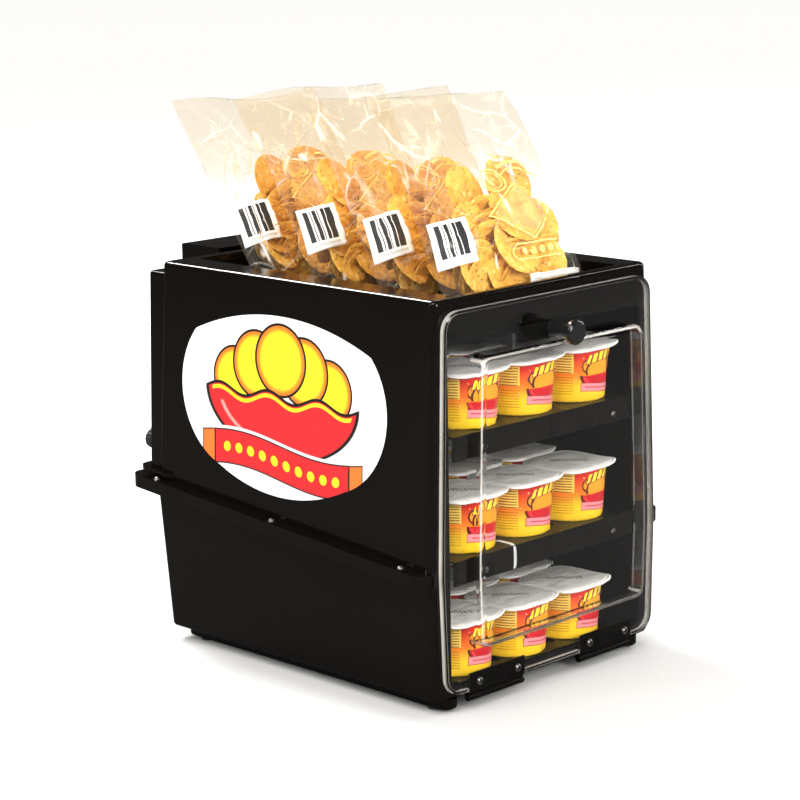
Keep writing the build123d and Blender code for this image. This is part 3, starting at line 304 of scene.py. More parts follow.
def screw_metal(name, colour):
    """Domed screw heads: bright edges and a cross recess on the head's own map, bumped in and painted near
    black as shade.
    """
    f = Finish(name)
    u, v, _ = f.parts(f.map_at())
    x, y = u - 0.5, v - 0.5
    across = abs(x).either(abs(y))
    arm = (abs(x).math("MINIMUM", abs(y))).below(0.055, 0.012)
    cross = arm * across.below(0.26, 0.02)
    turned = f.noise(f.at(), 500.0, 3.0)
    # Painted shade: the cross recess is coloured near black, standing in for the shade inside it.
    base = f.paint(cross, colour, (0.01, 0.01, 0.01))
    bumps = f.relief(1 - cross, 0.0009, 1.0)
    return f.coat(base, 0.2 + turned * 0.12 + cross * 0.3, f.relief(turned, 0.00003, 0.3, bumps),
                  Metallic=0.95)


def printed_cup(name, look):
    """Cup print: red over orange over yellow, a bowl mark, a ribbon, specks and a block of fine lines."""
    f = Finish(name)
    u, v, _ = f.parts(f.map_at())
    # The drawing's own millimetres: round the cup from the middle of the mark, and up from the foot.
    x = (u - 0.5) * 188.0
    z = v * 47.0
    low, middle, high = tuple(look.cup_low), tuple(look.cup_middle), tuple(look.cup_high)
    body = f.ramp(v + (f.noise(f.at(), 60.0) - 0.5) * 0.05,
                  [(0.04, low), (0.3, low), (0.56, middle), (0.86, high), (1.0, high)])
    body = cup_mark(f, x, z, body)
    body = cup_lines(f, x, z, body)
    weave = f.noise(f.at(), 700.0, 2.0)
    return f.coat(body, 0.3 + weave * 0.06, f.relief(weave, 0.00003, 0.3), Coat_Weight=0.15)


def cup_mark(f, x, z, body):
    """Chips heaped in a bowl, a ribbon under it, leaning tiles over it and specks all round."""
    def ellipse(cx, cz, rx, rz):
        return (((x - cx) / rx) ** 2.0 + ((z - cz) / rz) ** 2.0).math("SQRT")

    ink = (0.06, 0.005, 0.01)
    heap = ellipse(-3.0, 27.5, 15.0, 11.0)
    sides = ellipse(-13.0, 31.0, 7.5, 6.0), ellipse(8.0, 32.0, 8.0, 6.5)
    chip = heap.below(0.98, 0.03)
    edge = heap.near(1.0, 0.07, 0.03) * z.above(24.0, 0.5)
    for side in sides:
        chip = chip.either(side.below(0.98, 0.05))
        edge = edge.either(side.near(1.0, 0.1, 0.05) * heap.above(1.0, 0.03))
    body = f.paint(chip, body, (0.93, 0.36, 0.02))
    body = f.paint(edge, body, ink)
    bowl = ellipse(-2.0, 23.0, 19.0, 11.5)
    body = f.paint(bowl.below(1.0, 0.03) * z.below(23.5, 0.4), body, (0.62, 0.012, 0.02))
    body = f.paint(bowl.near(0.82, 0.05, 0.03) * z.below(22.0, 0.4), body, (0.85, 0.06, 0.06))
    body = f.paint(bowl.near(1.0, 0.06, 0.03) * z.below(24.0, 0.4), body, ink)

    level = z - (x * 0.09).math("SINE") * 1.6
    beside = abs(x + 2.0)
    ribbon = level.near(12.0, 3.4, 0.25) * beside.below(19.0, 0.3)
    body = f.paint(ribbon, body, (0.95, 0.3, 0.32))
    rim = level.near(12.0, 4.0, 0.25) * beside.below(19.6, 0.3) * (1 - ribbon)
    body = f.paint(rim, body, (0.35, 0.01, 0.03))
    body = f.paint(level.near(12.0, 0.5, 0.2) * beside.below(15.0, 0.4), body, (0.55, 0.02, 0.08))

    slant = x + (z - 38.0) * 0.35
    tile = abs((slant / 7.0).math("FRACT") - 0.5).below(0.36, 0.04) * slant.near(-3.0, 14.0, 0.2)
    tall = z - 39.0 + x * 0.12
    body = f.paint(tall.near(0.0, 4.4, 0.3) * slant.near(-3.0, 14.8, 0.3), body, (0.3, 0.01, 0.06))
    body = f.paint(tile * tall.near(0.0, 3.7, 0.3), body, (1.0, 0.78, 0.04))

    speck = f.cells(f.node("CombineXYZ", None, [x, z, 0.0]), 0.2).below(0.13, 0.02)
    about = ellipse(-2.0, 24.0, 30.0, 23.0).below(1.0, 0.05) * bowl.above(1.15, 0.05)
    return f.paint(speck * about * z.above(18.0, 1.0) * (1 - chip), body, (1.0, 0.86, 0.5))


def cup_lines(f, x, z, body):
    """A yellow block of fine lines, and fainter lines under it."""
    rows = (z * 2.6).math("SINE").above(0.35, 0.2)
    step = f.node("CombineXYZ", None, [x * 2.2, (z * 0.414).math("FLOOR") * 7.0, 0.0])
    lines = rows * f.noise(step, 1.0).above(0.42, 0.04)
    beside = abs(x - 33.5)
    block = beside.below(10.0, 0.2) * z.near(35.0, 8.5, 0.2)
    body = f.paint(block, body, (0.93, 0.66, 0.12))
    body = f.paint(block * lines * beside.below(8.7, 0.2), body, (0.22, 0.04, 0.01))
    small = beside.below(9.5, 0.3) * z.near(15.0, 9.0, 0.3) * lines
    return f.paint(small * 0.55, body, (0.3, 0.03, 0.0))


def foil_lid(name):
    """Peel-off lid: satin white foil with wrinkles, a glossy pressed rim and a row of dark ticks."""
    f = Finish(name)
    at = f.at()
    u, v, _ = f.parts(f.map_at())
    x, y = u - 0.5, v - 0.5
    out = (abs(x) ** 4.5 + abs(y) ** 4.5) ** (1 / 4.5)
    foil = out.below(0.45, 0.01)
    fold = f.noise(f.stretch(at, (14.0, 34.0, 14.0), (0.0, 0.0, 0.6)), 3.2, 4.0, 0.55)
    crease = abs(fold - 0.5).below(0.02, 0.02)
    # Painted shade and light: the foil is darker in the hollows of its wrinkles and lighter on their crests,
    # on the same noise as their bump.
    painted_fold_shading = f.paint(fold.above(0.5, 0.2), (0.66, 0.65, 0.62), (0.9, 0.89, 0.86))
    base = f.paint(foil, (0.86, 0.86, 0.84), painted_fold_shading)
    along, away = (u - v) * 0.7, (u + v) * 0.7 - 0.68
    tick = (along * 130.0 + away * 40.0).math("SINE").above(-0.1, 0.5) * abs(away).below(0.055, 0.01)
    tick = tick * abs(along).below(0.24, 0.01)
    tick = tick * f.noise(f.stretch(f.map_at(), (40.0, 40.0, 1.0)), 1.0).above(0.42, 0.04)
    base = f.paint(tick * 0.9, base, (0.02, 0.02, 0.025))
    bumps = f.relief(fold * foil, 0.0035, 0.7)
    bumps = f.relief(crease * foil, 0.0004, 0.4, bumps)
    return f.coat(base, 0.42 - foil * 0.08, bumps, Metallic=foil * 0.04, Coat_Weight=0.2)


def badge_print(name, middle, look):
    """Printed label: chips over a red bowl and a plain ribbon, inside a white border."""
    f = Finish(name)
    _, y, z = f.parts(f.at())
    a = (y - middle[1]) * 1000.0
    b = (z - middle[2]) * 1000.0
    white, ink = (0.86, 0.86, 0.84), (0.01, 0.008, 0.008)
    red, lime, orange = tuple(look.badge_red), tuple(look.badge_yellow), (0.85, 0.16, 0.02)
    base = f.paint(f.noise(f.at(), 40.0), white, (0.82, 0.82, 0.8))

    def disc(cx, cz, radius):
        return (((a - cx) ** 2.0 + (b - cz) ** 2.0).math("SQRT")) / radius

    speckle = f.cells(f.at(), 190.0).below(0.2, 0.05)
    for cx, cz, radius in ((-70.0, 24.0, 34.0), (68.0, 22.0, 34.0), (-34.0, 40.0, 36.0),
                           (36.0, 40.0, 36.0), (0.0, 48.0, 38.0)):
        d = disc(cx, cz, radius)
        inside = d.below(1.0, 0.01)
        shade = f.paint(d, lime, tuple(c * 0.72 for c in orange))
        toned = f.paint(d.above(0.78, 0.1), lime, shade)
        toned = f.paint(speckle * 0.6, toned, (0.45, 0.2, 0.02))
        base = f.paint(inside, base, toned)
        base = f.paint(d.near(0.97, 0.035, 0.012), base, ink)
    wave = (a * 0.085).math("SINE") * 5.0
    bowl = (((a / 112.0) ** 2.0 + ((b - 12.0) / 66.0) ** 2.0).math("SQRT"))
    brim = (b - wave).below(10.0, 0.8)
    base = f.paint(bowl.below(1.0, 0.012) * brim, base, red)
    glaze = bowl.near(0.83, 0.022, 0.012) * b.below(-4.0, 2.0) * a.above(10.0, 6.0)
    base = f.paint(glaze * 0.85, base, (0.95, 0.35, 0.3))
    outline = bowl.near(1.0, 0.022, 0.01) * brim
    outline = outline.either((b - wave).near(10.0, 1.6, 0.5) * bowl.below(1.02, 0.01))
    base = f.paint(outline, base, ink)
    base = f.paint((b - wave).near(5.0, 1.9, 0.6) * bowl.below(0.93, 0.01), base, lime)
    base = badge_ribbon(f, a, b, base, (white, ink, red, lime, orange))
    film = f.noise(f.at(), 500.0)
    return f.coat(base, 0.2 + film * 0.06, f.relief(film, 0.00003, 0.3), Coat_Weight=0.5)


def badge_ribbon(f, a, b, base, colours):
    """A swaying ribbon with a row of dots and darker ends."""
    white, ink, red, lime, orange = colours
    sway = (a * 0.024).math("SINE") * 7.0
    level = b - sway + 58.0
    ribbon = abs(level).below(17.0, 0.6) * abs(a).below(118.0, 0.8)
    base = f.paint(abs(level).below(21.5, 0.6) * abs(a).below(122.0, 0.8), base, white)
    base = f.paint(abs(level).below(18.6, 0.6) * abs(a).below(119.6, 0.8), base, ink)
    base = f.paint(ribbon, base, red)
    ends = ribbon * abs(a).above(100.0, 0.8)
    base = f.paint(ends, base, orange)
    base = f.paint(abs(abs(a) - 100.0).below(1.1, 0.4) * ribbon, base, ink)
    dots = (((a / 18.0).math("FRACT") - 0.5) ** 2.0 * 324.0 + level ** 2.0).math("SQRT")
    return f.paint(dots.below(5.2, 0.5) * abs(a).below(90.0, 0.8), base, lime)


def toasted_chip(name, look):
    """Corn chip: golden, blistered and speckled, toasted darker in patches."""
    f = Finish(name)
    at = f.at()
    patch = f.noise(at, 38.0, 4.0, 0.6)
    wide = f.noise(at, 9.0, 1.0)
    pale, toast = tuple(look.chip), tuple(look.chip_toasted)
    base = f.paint(patch.above(0.55, 0.12), pale, toast)
    base = f.paint(wide.above(0.55, 0.1) * 0.5, base, tuple(c * 0.75 for c in toast))
    speck = f.cells(at, 210.0).below(0.22, 0.06) * f.noise(at, 90.0).above(0.45, 0.05)
    base = f.paint(speck * 0.75, base, (0.3, 0.1, 0.015))
    pale_spot = f.cells(at, 120.0).below(0.3, 0.1) * f.noise(at, 60.0).above(0.5, 0.08)
    base = f.paint(pale_spot * 0.5, base, (1.0, 0.78, 0.3))
    blister = f.cells(at, 130.0).below(0.35, 0.25)
    pit = f.noise(at, 500.0, 4.0)
    bumps = f.relief(blister + pit * 0.6 - speck * 0.6, 0.0016, 0.8)
    return f.coat(base, 0.55 + pit * 0.2, bumps, Specular_IOR_Level=0.35)


def bag_film(name, look):
    """Clear crackling film: nearly open when flat, white in its creases, ribbed at the seal, gold print. The
    white in its creases, in scattered glints and where it turns away is painted highlight.
    """
    f = Finish(name)
    at = f.at()
    u, v, _ = f.parts(f.map_at())
    drift = f.node("VectorMath", {"operation": "MULTIPLY_ADD"},
                   [f.node("TexNoise", None, {"Vector": at, "Scale": 9.0}, 1), (0.06, 0.06, 0.06), at])
    crease = f.cells(drift, 17.0, "DISTANCE_TO_EDGE").below(0.022, 0.022)
    fine = f.cells(f.stretch(drift, (1.0, 1.0, 0.6)), 44.0, "DISTANCE_TO_EDGE").below(0.03, 0.03)
    cloud = f.noise(at, 13.0, 3.0)
    # Painted highlight: pale film along the creases, stronger in the empty upper part.
    painted_crease_highlights = crease * cloud.above(0.52, 0.06) * 0.5 + fine * cloud.above(0.6, 0.05) * 0.25
    seal = v.above(0.955, 0.006)
    ribs = (v * 900.0).math("SINE")
    # Painted glints: scattered spots of pale film.
    painted_glints = f.noise(f.stretch(at, (20.0, 8.0, 4.0), (0.2, 0.5, 0.3)), 3.5, 2.0).above(0.69, 0.03)
    facing = f.node("LayerWeight", None, [0.35], 1)
    upper = v.above(0.6, 0.12)
    cover = 0.02 + painted_crease_highlights * (0.4 + upper * 0.6) + painted_glints * 0.55 + seal * (0.08 + ribs * 0.05)
    # Painted reflection: more pale film where the film turns away from view.
    cover = cover + facing ** 4.0 * 0.25 + upper * 0.02
    ink = gold_print(f, u, v)
    cover = (cover.either(ink)).math("MINIMUM", 1.0)
    base = f.paint(ink, (0.95, 0.9, 0.8), tuple(look.gold))
    slope = f.cells(drift, 17.0, "F1")
    bumps = f.relief(slope, 0.012, 0.8)
    bumps = f.relief(crease + fine * 0.5 + seal * ribs * 0.4, 0.0012, 0.8, bumps)
    film = f.shader(Base_Color=base, Roughness=0.1 + ink * 0.25, Normal=bumps, Coat_Weight=1.0,
                    Coat_Roughness=0.04, Specular_IOR_Level=0.8)
    tint = f.paint(upper, (0.99, 0.985, 0.975), (0.94, 0.9, 0.83))
    open_film = f.node("BsdfTransparent", None, [tint])
    return f.show(f.node("MixShader", None, [cover, open_film, film]))


def gold_print(f, u, v):
    """A plain diamond with hatching, a rounded bar of dots and a strip, on the front of the bag."""
    width, length = 212.0, 246.0
    x = (u - 0.6) * width
    z = (v - 0.42) * length
    front = u.below(0.999, 0.0005)
    diamond = abs(x) / 44.0 + abs(z) / 30.0
    outline = diamond.near(1.0, 0.035, 0.01)
    inner = diamond.near(0.86, 0.012, 0.006)
    hatch = ((x + z) * 1.9).math("SINE").above(0.5, 0.2) * diamond.below(0.82, 0.01) * 0.5
    bar_z = z + 42.0
    bar = ((abs(x - 6.0) - 30.0).math("MAXIMUM", 0.0) ** 2.0 + bar_z ** 2.0).math("SQRT")
    ring = bar.near(8.0, 0.7, 0.25)
    dots = (((x / 12.0).math("FRACT") - 0.5) ** 2.0 * 144.0 + bar_z ** 2.0).math("SQRT")
    row = dots.below(3.6, 0.3) * abs(x - 6.0).below(30.0, 0.3)
    round_chip = ((x + 18.0) ** 2.0 + (z - 38.0) ** 2.0).math("SQRT")
    circle = round_chip.near(13.0, 0.8, 0.25).either(round_chip.near(9.5, 0.4, 0.2))
    arc = ((x - 14.0) ** 2.0 + (z - 18.0) ** 2.0).math("SQRT")
    arcs = arc.near(38.0, 1.6, 0.4).either(arc.near(31.0, 0.8, 0.3))
    arcs = arcs * z.above(36.0, 0.5) * x.above(-4.0, 1.0)
    marks = outline.either(inner).either(hatch).either(ring).either(row).either(circle).either(arcs)
    return marks * front


def bar_label(name):
    """White paper label with a plain run of dark bars."""
    f = Finish(name)
    u, v, _ = f.parts(f.map_at())
    step = f.node("CombineXYZ", None, [(u * 44.0).math("FLOOR"), 3.0, 1.0])
    bars = f.node("TexWhiteNoise", {"noise_dimensions": "3D"}, [step], 0).above(0.5, 0.01)
    field = u.near(0.5, 0.4, 0.004) * v.near(0.56, 0.36, 0.004)
    under = u.near(0.5, 0.36, 0.004) * v.near(0.11, 0.035, 0.004) * (u * 150.0).math("SINE").above(0.2, 0.3)
    ink = (bars * field).either(under * 0.8)
    paper = f.noise(f.at(), 900.0)
    base = f.paint(ink, (0.84, 0.83, 0.8), (0.02, 0.02, 0.022))
    return f.coat(base, 0.42 + paper * 0.1, f.relief(paper, 0.00004, 0.3), Coat_Weight=0.4)


def strip_label(name):
    """Pale strip near the foot of a bag, with thin grey lines."""
    f = Finish(name)
    u, v, _ = f.parts(f.map_at())
    lines = (v * 22.0).math("SINE").above(0.7, 0.15) * u.near(0.5, 0.42, 0.01)
    breaks = f.noise(f.stretch(f.map_at(), (60.0, 3.0, 1.0)), 1.0).above(0.45, 0.05)
    base = f.paint(lines * breaks * 0.6, (0.82, 0.78, 0.72), (0.3, 0.27, 0.22))
    return f.coat(base, 0.35, f.relief(f.noise(f.at(), 120.0), 0.0003, 0.3), Coat_Weight=0.3)


def marked_dial(name, colour, centre):
    """Dial with a white pointer line; the line runs from the centre to the rim."""
    f = Finish(name)
    x, _, z = f.parts(f.at())
    across = (x - centre[0]) * 1000.0
    up = (z - centre[2]) * 1000.0
    line = abs(across).below(0.9, 0.2) * up.above(2.0, 0.3)
    grip = (f.node("Math", {"operation": "ARCTAN2"}, [up, across]) * 18.0).math("SINE")
    base = f.paint(line, colour, (0.85, 0.85, 0.83))
    return f.coat(base, 0.3 + f.noise(f.at(), 700.0) * 0.1, f.relief(grip, 0.0008, 0.5))


def woven_tie(name):
    """Nylon tie with cross ribs."""
    f = Finish(name)
    _, _, z = f.parts(f.at())
    ribs = (z * 5200.0).math("SINE")
    base = f.paint(f.noise(f.at(), 200.0), (0.78, 0.76, 0.7), (0.86, 0.85, 0.8))
    return f.coat(base, 0.36, f.relief(ribs, 0.0003, 0.5), Subsurface_Weight=0.15)


# --- Mesh helpers ------------------------------------------------------------------------------
def new_piece(name, points, faces, finish=None, smooth=True, maps=None):
    """A mesh object at the origin. maps gives one (u, v) for each point."""
    mesh = bpy.data.meshes.new(name)
    mesh.from_pydata(points, [], faces)
    if maps:
        layer = mesh.uv_layers.new(name="Map")
        for loop in mesh.loops:
            layer.data[loop.index].uv = maps[loop.vertex_index]
    mesh.update()
    if smooth:
        mesh.polygons.foreach_set("use_smooth", [True] * len(mesh.polygons))
    piece = bpy.data.objects.new(name, mesh)
    bpy.context.scene.collection.objects.link(piece)
    if finish:
        mesh.materials.append(finish)
    return piece


def drop(*pieces):
    for piece in pieces:
        mesh = piece.data
        bpy.data.objects.remove(piece)
        if isinstance(mesh, bpy.types.Mesh) and not mesh.users:
            bpy.data.meshes.remove(mesh)


def rings_to_faces(rings, around, close=True):
    """Quads between rings of points, with fans at both ends when they are to be closed."""
    faces = []
    for r in range(rings - 1):
        for i in range(around):
            j = (i + 1) % around
            faces.append((r * around + i, r * around + j, (r + 1) * around + j, (r + 1) * around + i))
    if close:
        faces.append(tuple(reversed(range(around))))
        faces.append(tuple((rings - 1) * around + i for i in range(around)))
    return faces


def settle(piece, body, slot, *nodes):
    """Finished piece: it rides on its body and stands for its nodes."""
    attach(piece, body)
    if nodes:
        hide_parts(*nodes)
    return piece


def dress(material, *nodes):
    """Gives CAD nodes a finish without touching their shape."""
    for name in nodes:
        slots = frame["nodes"][name].material_slots
        if not slots:
            frame["nodes"][name].data.materials.append(material)
        for holder in slots:
            holder.material = material


def islands(node):
    """Lowest and highest corner of each separate solid in a CAD node."""
    work = bmesh.new()
    work.from_mesh(frame["nodes"][node].data)
    bmesh.ops.remove_doubles(work, verts=work.verts, dist=1e-6)
    seen, found = set(), []
    for start in work.verts:
        if start in seen:
            continue
        group, queue = [], [start]
        seen.add(start)
        while queue:
            vert = queue.pop()
            group.append(vert.co.copy())
            for edge in vert.link_edges:
                other = edge.other_vert(vert)
                if other not in seen:
                    seen.add(other)
                    queue.append(other)
        low = Vector([min(p[i] for p in group) for i in range(3)])
        high = Vector([max(p[i] for p in group) for i in range(3)])
        found.append((low, high))
    work.free()
    return found


# --- Geometry Nodes ----------------------------------------------------------------------------
class Recipe:
    """A Geometry Nodes tree with named inputs."""

    def __init__(self, name, inputs):
        self.tree = bpy.data.node_groups.new(name, "GeometryNodeTree")
        face = self.tree.interface
        self.keys = {}
        for label, kind in inputs:
            made = face.new_socket(name=label, in_out="INPUT", socket_type="NodeSocket" + kind)
            self.keys[label] = made.identifier
        face.new_socket(name="Geometry", in_out="OUTPUT", socket_type="NodeSocketGeometry")
        self.way_in = self.tree.nodes.new("NodeGroupInput")
        self.way_out = self.tree.nodes.new("NodeGroupOutput")

    def node(self, kind, settings=None, inputs=None):
        made = self.tree.nodes.new(kind)
        for name, value in (settings or {}).items():
            setattr(made, name, value)
        for key, value in (inputs or {}).items():
            if isinstance(value, bpy.types.NodeSocket):
                self.tree.links.new(value, made.inputs[key])
            else:
                made.inputs[key].default_value = value
        return made.outputs

    def value(self, label):
        return self.way_in.outputs[label]

    def finish(self, geometry, material):
        solid = self.node("GeometryNodeRealizeInstances", None, {"Geometry": geometry})[0]
        painted = self.node("GeometryNodeSetMaterial", None, {"Geometry": solid, "Material": material})[0]
        self.tree.links.new(painted, self.way_out.inputs[0])

    def make(self, name, carrier, values):
        """Runs the tree on a carrier object and returns its result as a plain mesh object."""
        step = carrier.modifiers.new("Recipe", "NODES")
        step.node_group = self.tree
        for label, value in values.items():
            step[self.keys[label]] = value
        graph = bpy.context.evaluated_depsgraph_get()
        mesh = bpy.data.meshes.new_from_object(carrier.evaluated_get(graph), depsgraph=graph)
        mesh.name = name
        carrier.modifiers.remove(step)
        piece = bpy.data.objects.new(name, mesh)
        bpy.context.scene.collection.objects.link(piece)
        return piece


def tray_recipe():
    """Copies of one piece on a grid, each turned a little about its upright axis."""
    r = Recipe("Tray of pieces", [("Geometry", "Geometry"), ("Piece", "Object"), ("Columns", "Int"),
                                  ("Rows", "Int"), ("Width", "Float"), ("Depth", "Float"),
                                  ("Corner", "Vector"), ("Turn", "Float"), ("Seed", "Int"),
                                  ("Finish", "Material")])
    grid = r.node("GeometryNodeMeshGrid", None,
                  {"Size X": r.value("Width"), "Size Y": r.value("Depth"),
                   "Vertices X": r.value("Columns"), "Vertices Y": r.value("Rows")})[0]
    moved = r.node("GeometryNodeSetPosition", None, {"Geometry": grid, "Offset": r.value("Corner")})[0]
    source = r.node("GeometryNodeObjectInfo", {"transform_space": "ORIGINAL"},
                    {"Object": r.value("Piece")})["Geometry"]
    back = r.node("ShaderNodeMath", {"operation": "MULTIPLY"}, {0: r.value("Turn"), 1: -1.0})[0]
    turn = r.node("FunctionNodeRandomValue", {"data_type": "FLOAT"},
                  {"Min": back, "Max": r.value("Turn"), "Seed": r.value("Seed")})
    spin = r.node("ShaderNodeCombineXYZ", None, {"Z": turn[1]})[0]
    copies = r.node("GeometryNodeInstanceOnPoints", None,
                    {"Points": moved, "Instance": source, "Rotation": spin})[0]
    r.finish(copies, r.value("Finish"))
    return r


def scatter_recipe():
    """Copies of one piece on given points, with the points' own turn and size."""
    r = Recipe("Pieces on points", [("Geometry", "Geometry"), ("Piece", "Object"), ("Finish", "Material")])
    source = r.node("GeometryNodeObjectInfo", {"transform_space": "ORIGINAL"},
                    {"Object": r.value("Piece")})["Geometry"]
    turn = r.node("GeometryNodeInputNamedAttribute", {"data_type": "FLOAT_VECTOR"}, {"Name": "turn"})[0]
    size = r.node("GeometryNodeInputNamedAttribute", {"data_type": "FLOAT_VECTOR"}, {"Name": "size"})[0]
    copies = r.node("GeometryNodeInstanceOnPoints", None,
                    {"Points": r.value("Geometry"), "Instance": source, "Rotation": turn, "Scale": size})[0]
    r.finish(copies, r.value("Finish"))
    return r


def points_with(name, places):
    """A carrier of loose points, each with a turn and a size."""
    mesh = bpy.data.meshes.new(name)
    mesh.from_pydata([p for p, _, _ in places], [], [])
    for label, column in (("turn", 1), ("size", 2)):
        layer = mesh.attributes.new(label, "FLOAT_VECTOR", "POINT")
        for i, place in enumerate(places):
            layer.data[i].vector = place[column]
    carrier = bpy.data.objects.new(name, mesh)
    bpy.context.scene.collection.objects.link(carrier)
    return carrier


def scatter(name, places, sample, finish):
    carrier = points_with(name + "_points", places)
    piece = scatter_recipe().make(name, carrier, {"Piece": sample, "Finish": finish})
    drop(carrier)
    return piece


# --- Screws ------------------------------------------------------------------------------------
def screw_sample(radius, height, shank, length):
    """A domed screw, its head up and its bearing face at z = 0, with a flat map over the head."""
    around = 20
    profile = [(shank, -length), (shank, 0.0), (radius, 0.0), (radius, height * 0.22),
               (radius * 0.93, height * 0.5), (radius * 0.72, height * 0.83), (radius * 0.4, height * 0.97),
               (radius * 0.12, height)]
    points, maps = [], []
    for r, z in profile:
        for i in range(around):
            angle = 2 * pi * i / around
            x, y = r * cos(angle), r * sin(angle)
            points.append((x, y, z))
            head = z > 0
            maps.append((0.5 + x / radius / 2, 0.5 + y / radius / 2) if head else (0.02, 0.02))
    return new_piece("screw_sample", points, rings_to_faces(len(profile), around), None, True, maps)


def screw_set(name, node, body, slot, outward, head, shank, finish):
    """Detailed screws in place of one CAD node of screws. outward(low, high) gives each head's direction."""
    places = []
    spin = random.Random(node)
    solids = islands(node)
    length = 0.0
    for low, high in solids:
        way = Vector(outward(low, high))
        centre = (low + high) / 2
        reach = abs(way.dot(high - low)) / 2
        length = reach * 2 - head[1]
        top = centre + way * reach
        seat = top - way * head[1]
        turn = way.to_track_quat("Z", "Y").to_matrix() @ Matrix.Rotation(spin.uniform(0, pi), 3, "Z")
        places.append((seat, Vector(turn.to_euler()), Vector((1, 1, 1))))
    sample = screw_sample(head[0], head[1], shank, length)
    piece = scatter(name, places, sample, finish)
    drop(sample)
    return settle(piece, body, slot, node)


# --- Cups --------------------------------------------------------------------------------------
def squarish(angle, half, power):
    """A point on a rounded square (power 2 is a circle)."""
    c, s = cos(angle), sin(angle)
    reach = (abs(c) ** power + abs(s) ** power) ** (-1 / power)
    return half * reach * c, half * reach * s


def cup_sample(height):
    """Tapered cup body in millimetres: round at its foot, squarer under the lid, with a recessed base."""
    around, flutes = 64, 12
    foot, growth = 34.0, 2.5
    rings = [(foot - 6.5, 1.8, 2.0), (foot - 3.5, 0.4, 2.0), (foot - 1.3, 0.0, 2.0), (foot - 0.4, 0.6, 2.0),
             (foot, 2.0, 2.05)]
    steps = 12
    for i in range(1, steps + 1):
        share = i / steps
        rings.append((foot + growth * share, 2.0 + (height / MM - 2.4) * share, 2.05 + 0.45 * share))
    points, maps = [], []
    for radius, z, power in rings:
        for i in range(around):
            angle = 2 * pi * i / around + 1e-4
            flute = 0.35 * cos(angle * flutes) * max(0.0, 1 - z / 9.0) if z > 0.5 else 0.0
            x, y = squarish(angle, (radius + flute) * MM, power)
            points.append((x, y, min(z * MM, height)))
            turn = atan2(-x, -y) / (2 * pi)
            maps.append((0.5 + turn, z * MM / height))
    piece = new_piece("cup_sample", points, rings_to_faces(len(rings), around), None, True, maps)
    mend_wrap(piece)
    return piece


def mend_wrap(piece):
    """Keeps a wrapped map from running backwards over the face that crosses its join."""
    layer = piece.data.uv_layers[0]
    for face in piece.data.polygons:
        values = [layer.data[i].uv.x for i in face.loop_indices]
        if max(values) - min(values) > 0.5:
            for i in face.loop_indices:
                if layer.data[i].uv.x < 0.5:
                    layer.data[i].uv.x += 1.0


def lid_sample(half, thickness, seed):
    """Rounded-square lid: pressed rim, crowned foil with wrinkles and one lifted corner."""
    around = 72
    t = thickness
    skirt = 1.6 * MM
    rings = [(0.80, 0.0), (0.955, 0.0), (0.965, -skirt), (0.995, -skirt), (1.0, -0.9 * MM), (1.0, 0.15 * t),
             (0.988, 0.36 * t), (0.965, 0.42 * t), (0.94, 0.3 * t), (0.925, 0.28 * t), (0.9, 0.42 * t),
             (0.82, 0.55 * t), (0.7, 0.68 * t), (0.56, 0.78 * t), (0.42, 0.86 * t), (0.28, 0.92 * t),
             (0.14, 0.95 * t)]
    points, maps = [], []
    shift = Vector((seed * 7.3, 0, 0))
    for k, (share, z) in enumerate(rings):
        for i in range(around):
            angle = 2 * pi * i / around
            x, y = squarish(angle, half * share, 4.5)
            lift = 0.0
            if k > 9:
                spot = Vector((x * 55, y * 80, 0)) + shift
                fade = min(1.0, (0.93 - share) * 6)
                lift = (abs(noise.noise(spot)) * 1.3 - 0.25) * MM * 0.8 * fade
            corner = max(0.0, abs(x - y) / half - 1.2)
            lift += corner ** 2 * (9.0 if x > y else -5.0) * MM
            points.append((x, y, z + lift))
            maps.append((0.5 + x / half / 2, 0.5 + y / half / 2))
    return new_piece("lid_sample", points, rings_to_faces(len(rings), around), None, True, maps)


def make_cups(tier, look, print_finish, foil):
    """One shelf of cups in place of its CAD node."""
    node = "cups_" + tier
    low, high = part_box(node)
    columns, rows = look.columns, look.rows
    half = (high.x - low.x - look.pitch * (columns - 1)) / 2
    height = high.z - low.z - look.lid_thickness
    corner = Vector(((low.x + high.x) / 2, (low.y + high.y) / 2, low.z))
    seed = {"bottom": 3, "middle": 5, "top": 8}[tier]
    recipe = tray_recipe()
    pieces = []
    for kind, sample, lift, turn, finish in (
            ("bodies", cup_sample(height), 0.0, look.cup_turn, print_finish),
            ("lids", lid_sample(half, look.lid_thickness, seed), height, 0.02, foil)):
        carrier = new_piece("carrier", [(0, 0, 0)], [])
        values = {"Piece": sample, "Columns": columns, "Rows": rows, "Width": look.pitch * (columns - 1),
                  "Depth": look.pitch * (rows - 1), "Corner": corner + Vector((0, 0, lift)),
                  "Turn": turn, "Seed": seed, "Finish": finish}
        piece = recipe.make(node + "_" + kind, carrier, values)
        drop(carrier, sample)
        pieces.append(piece)
    settle(pieces[0], CABINET, "cup_print", node)
    settle(pieces[1], CABINET, "cup_print", node)
    return pieces


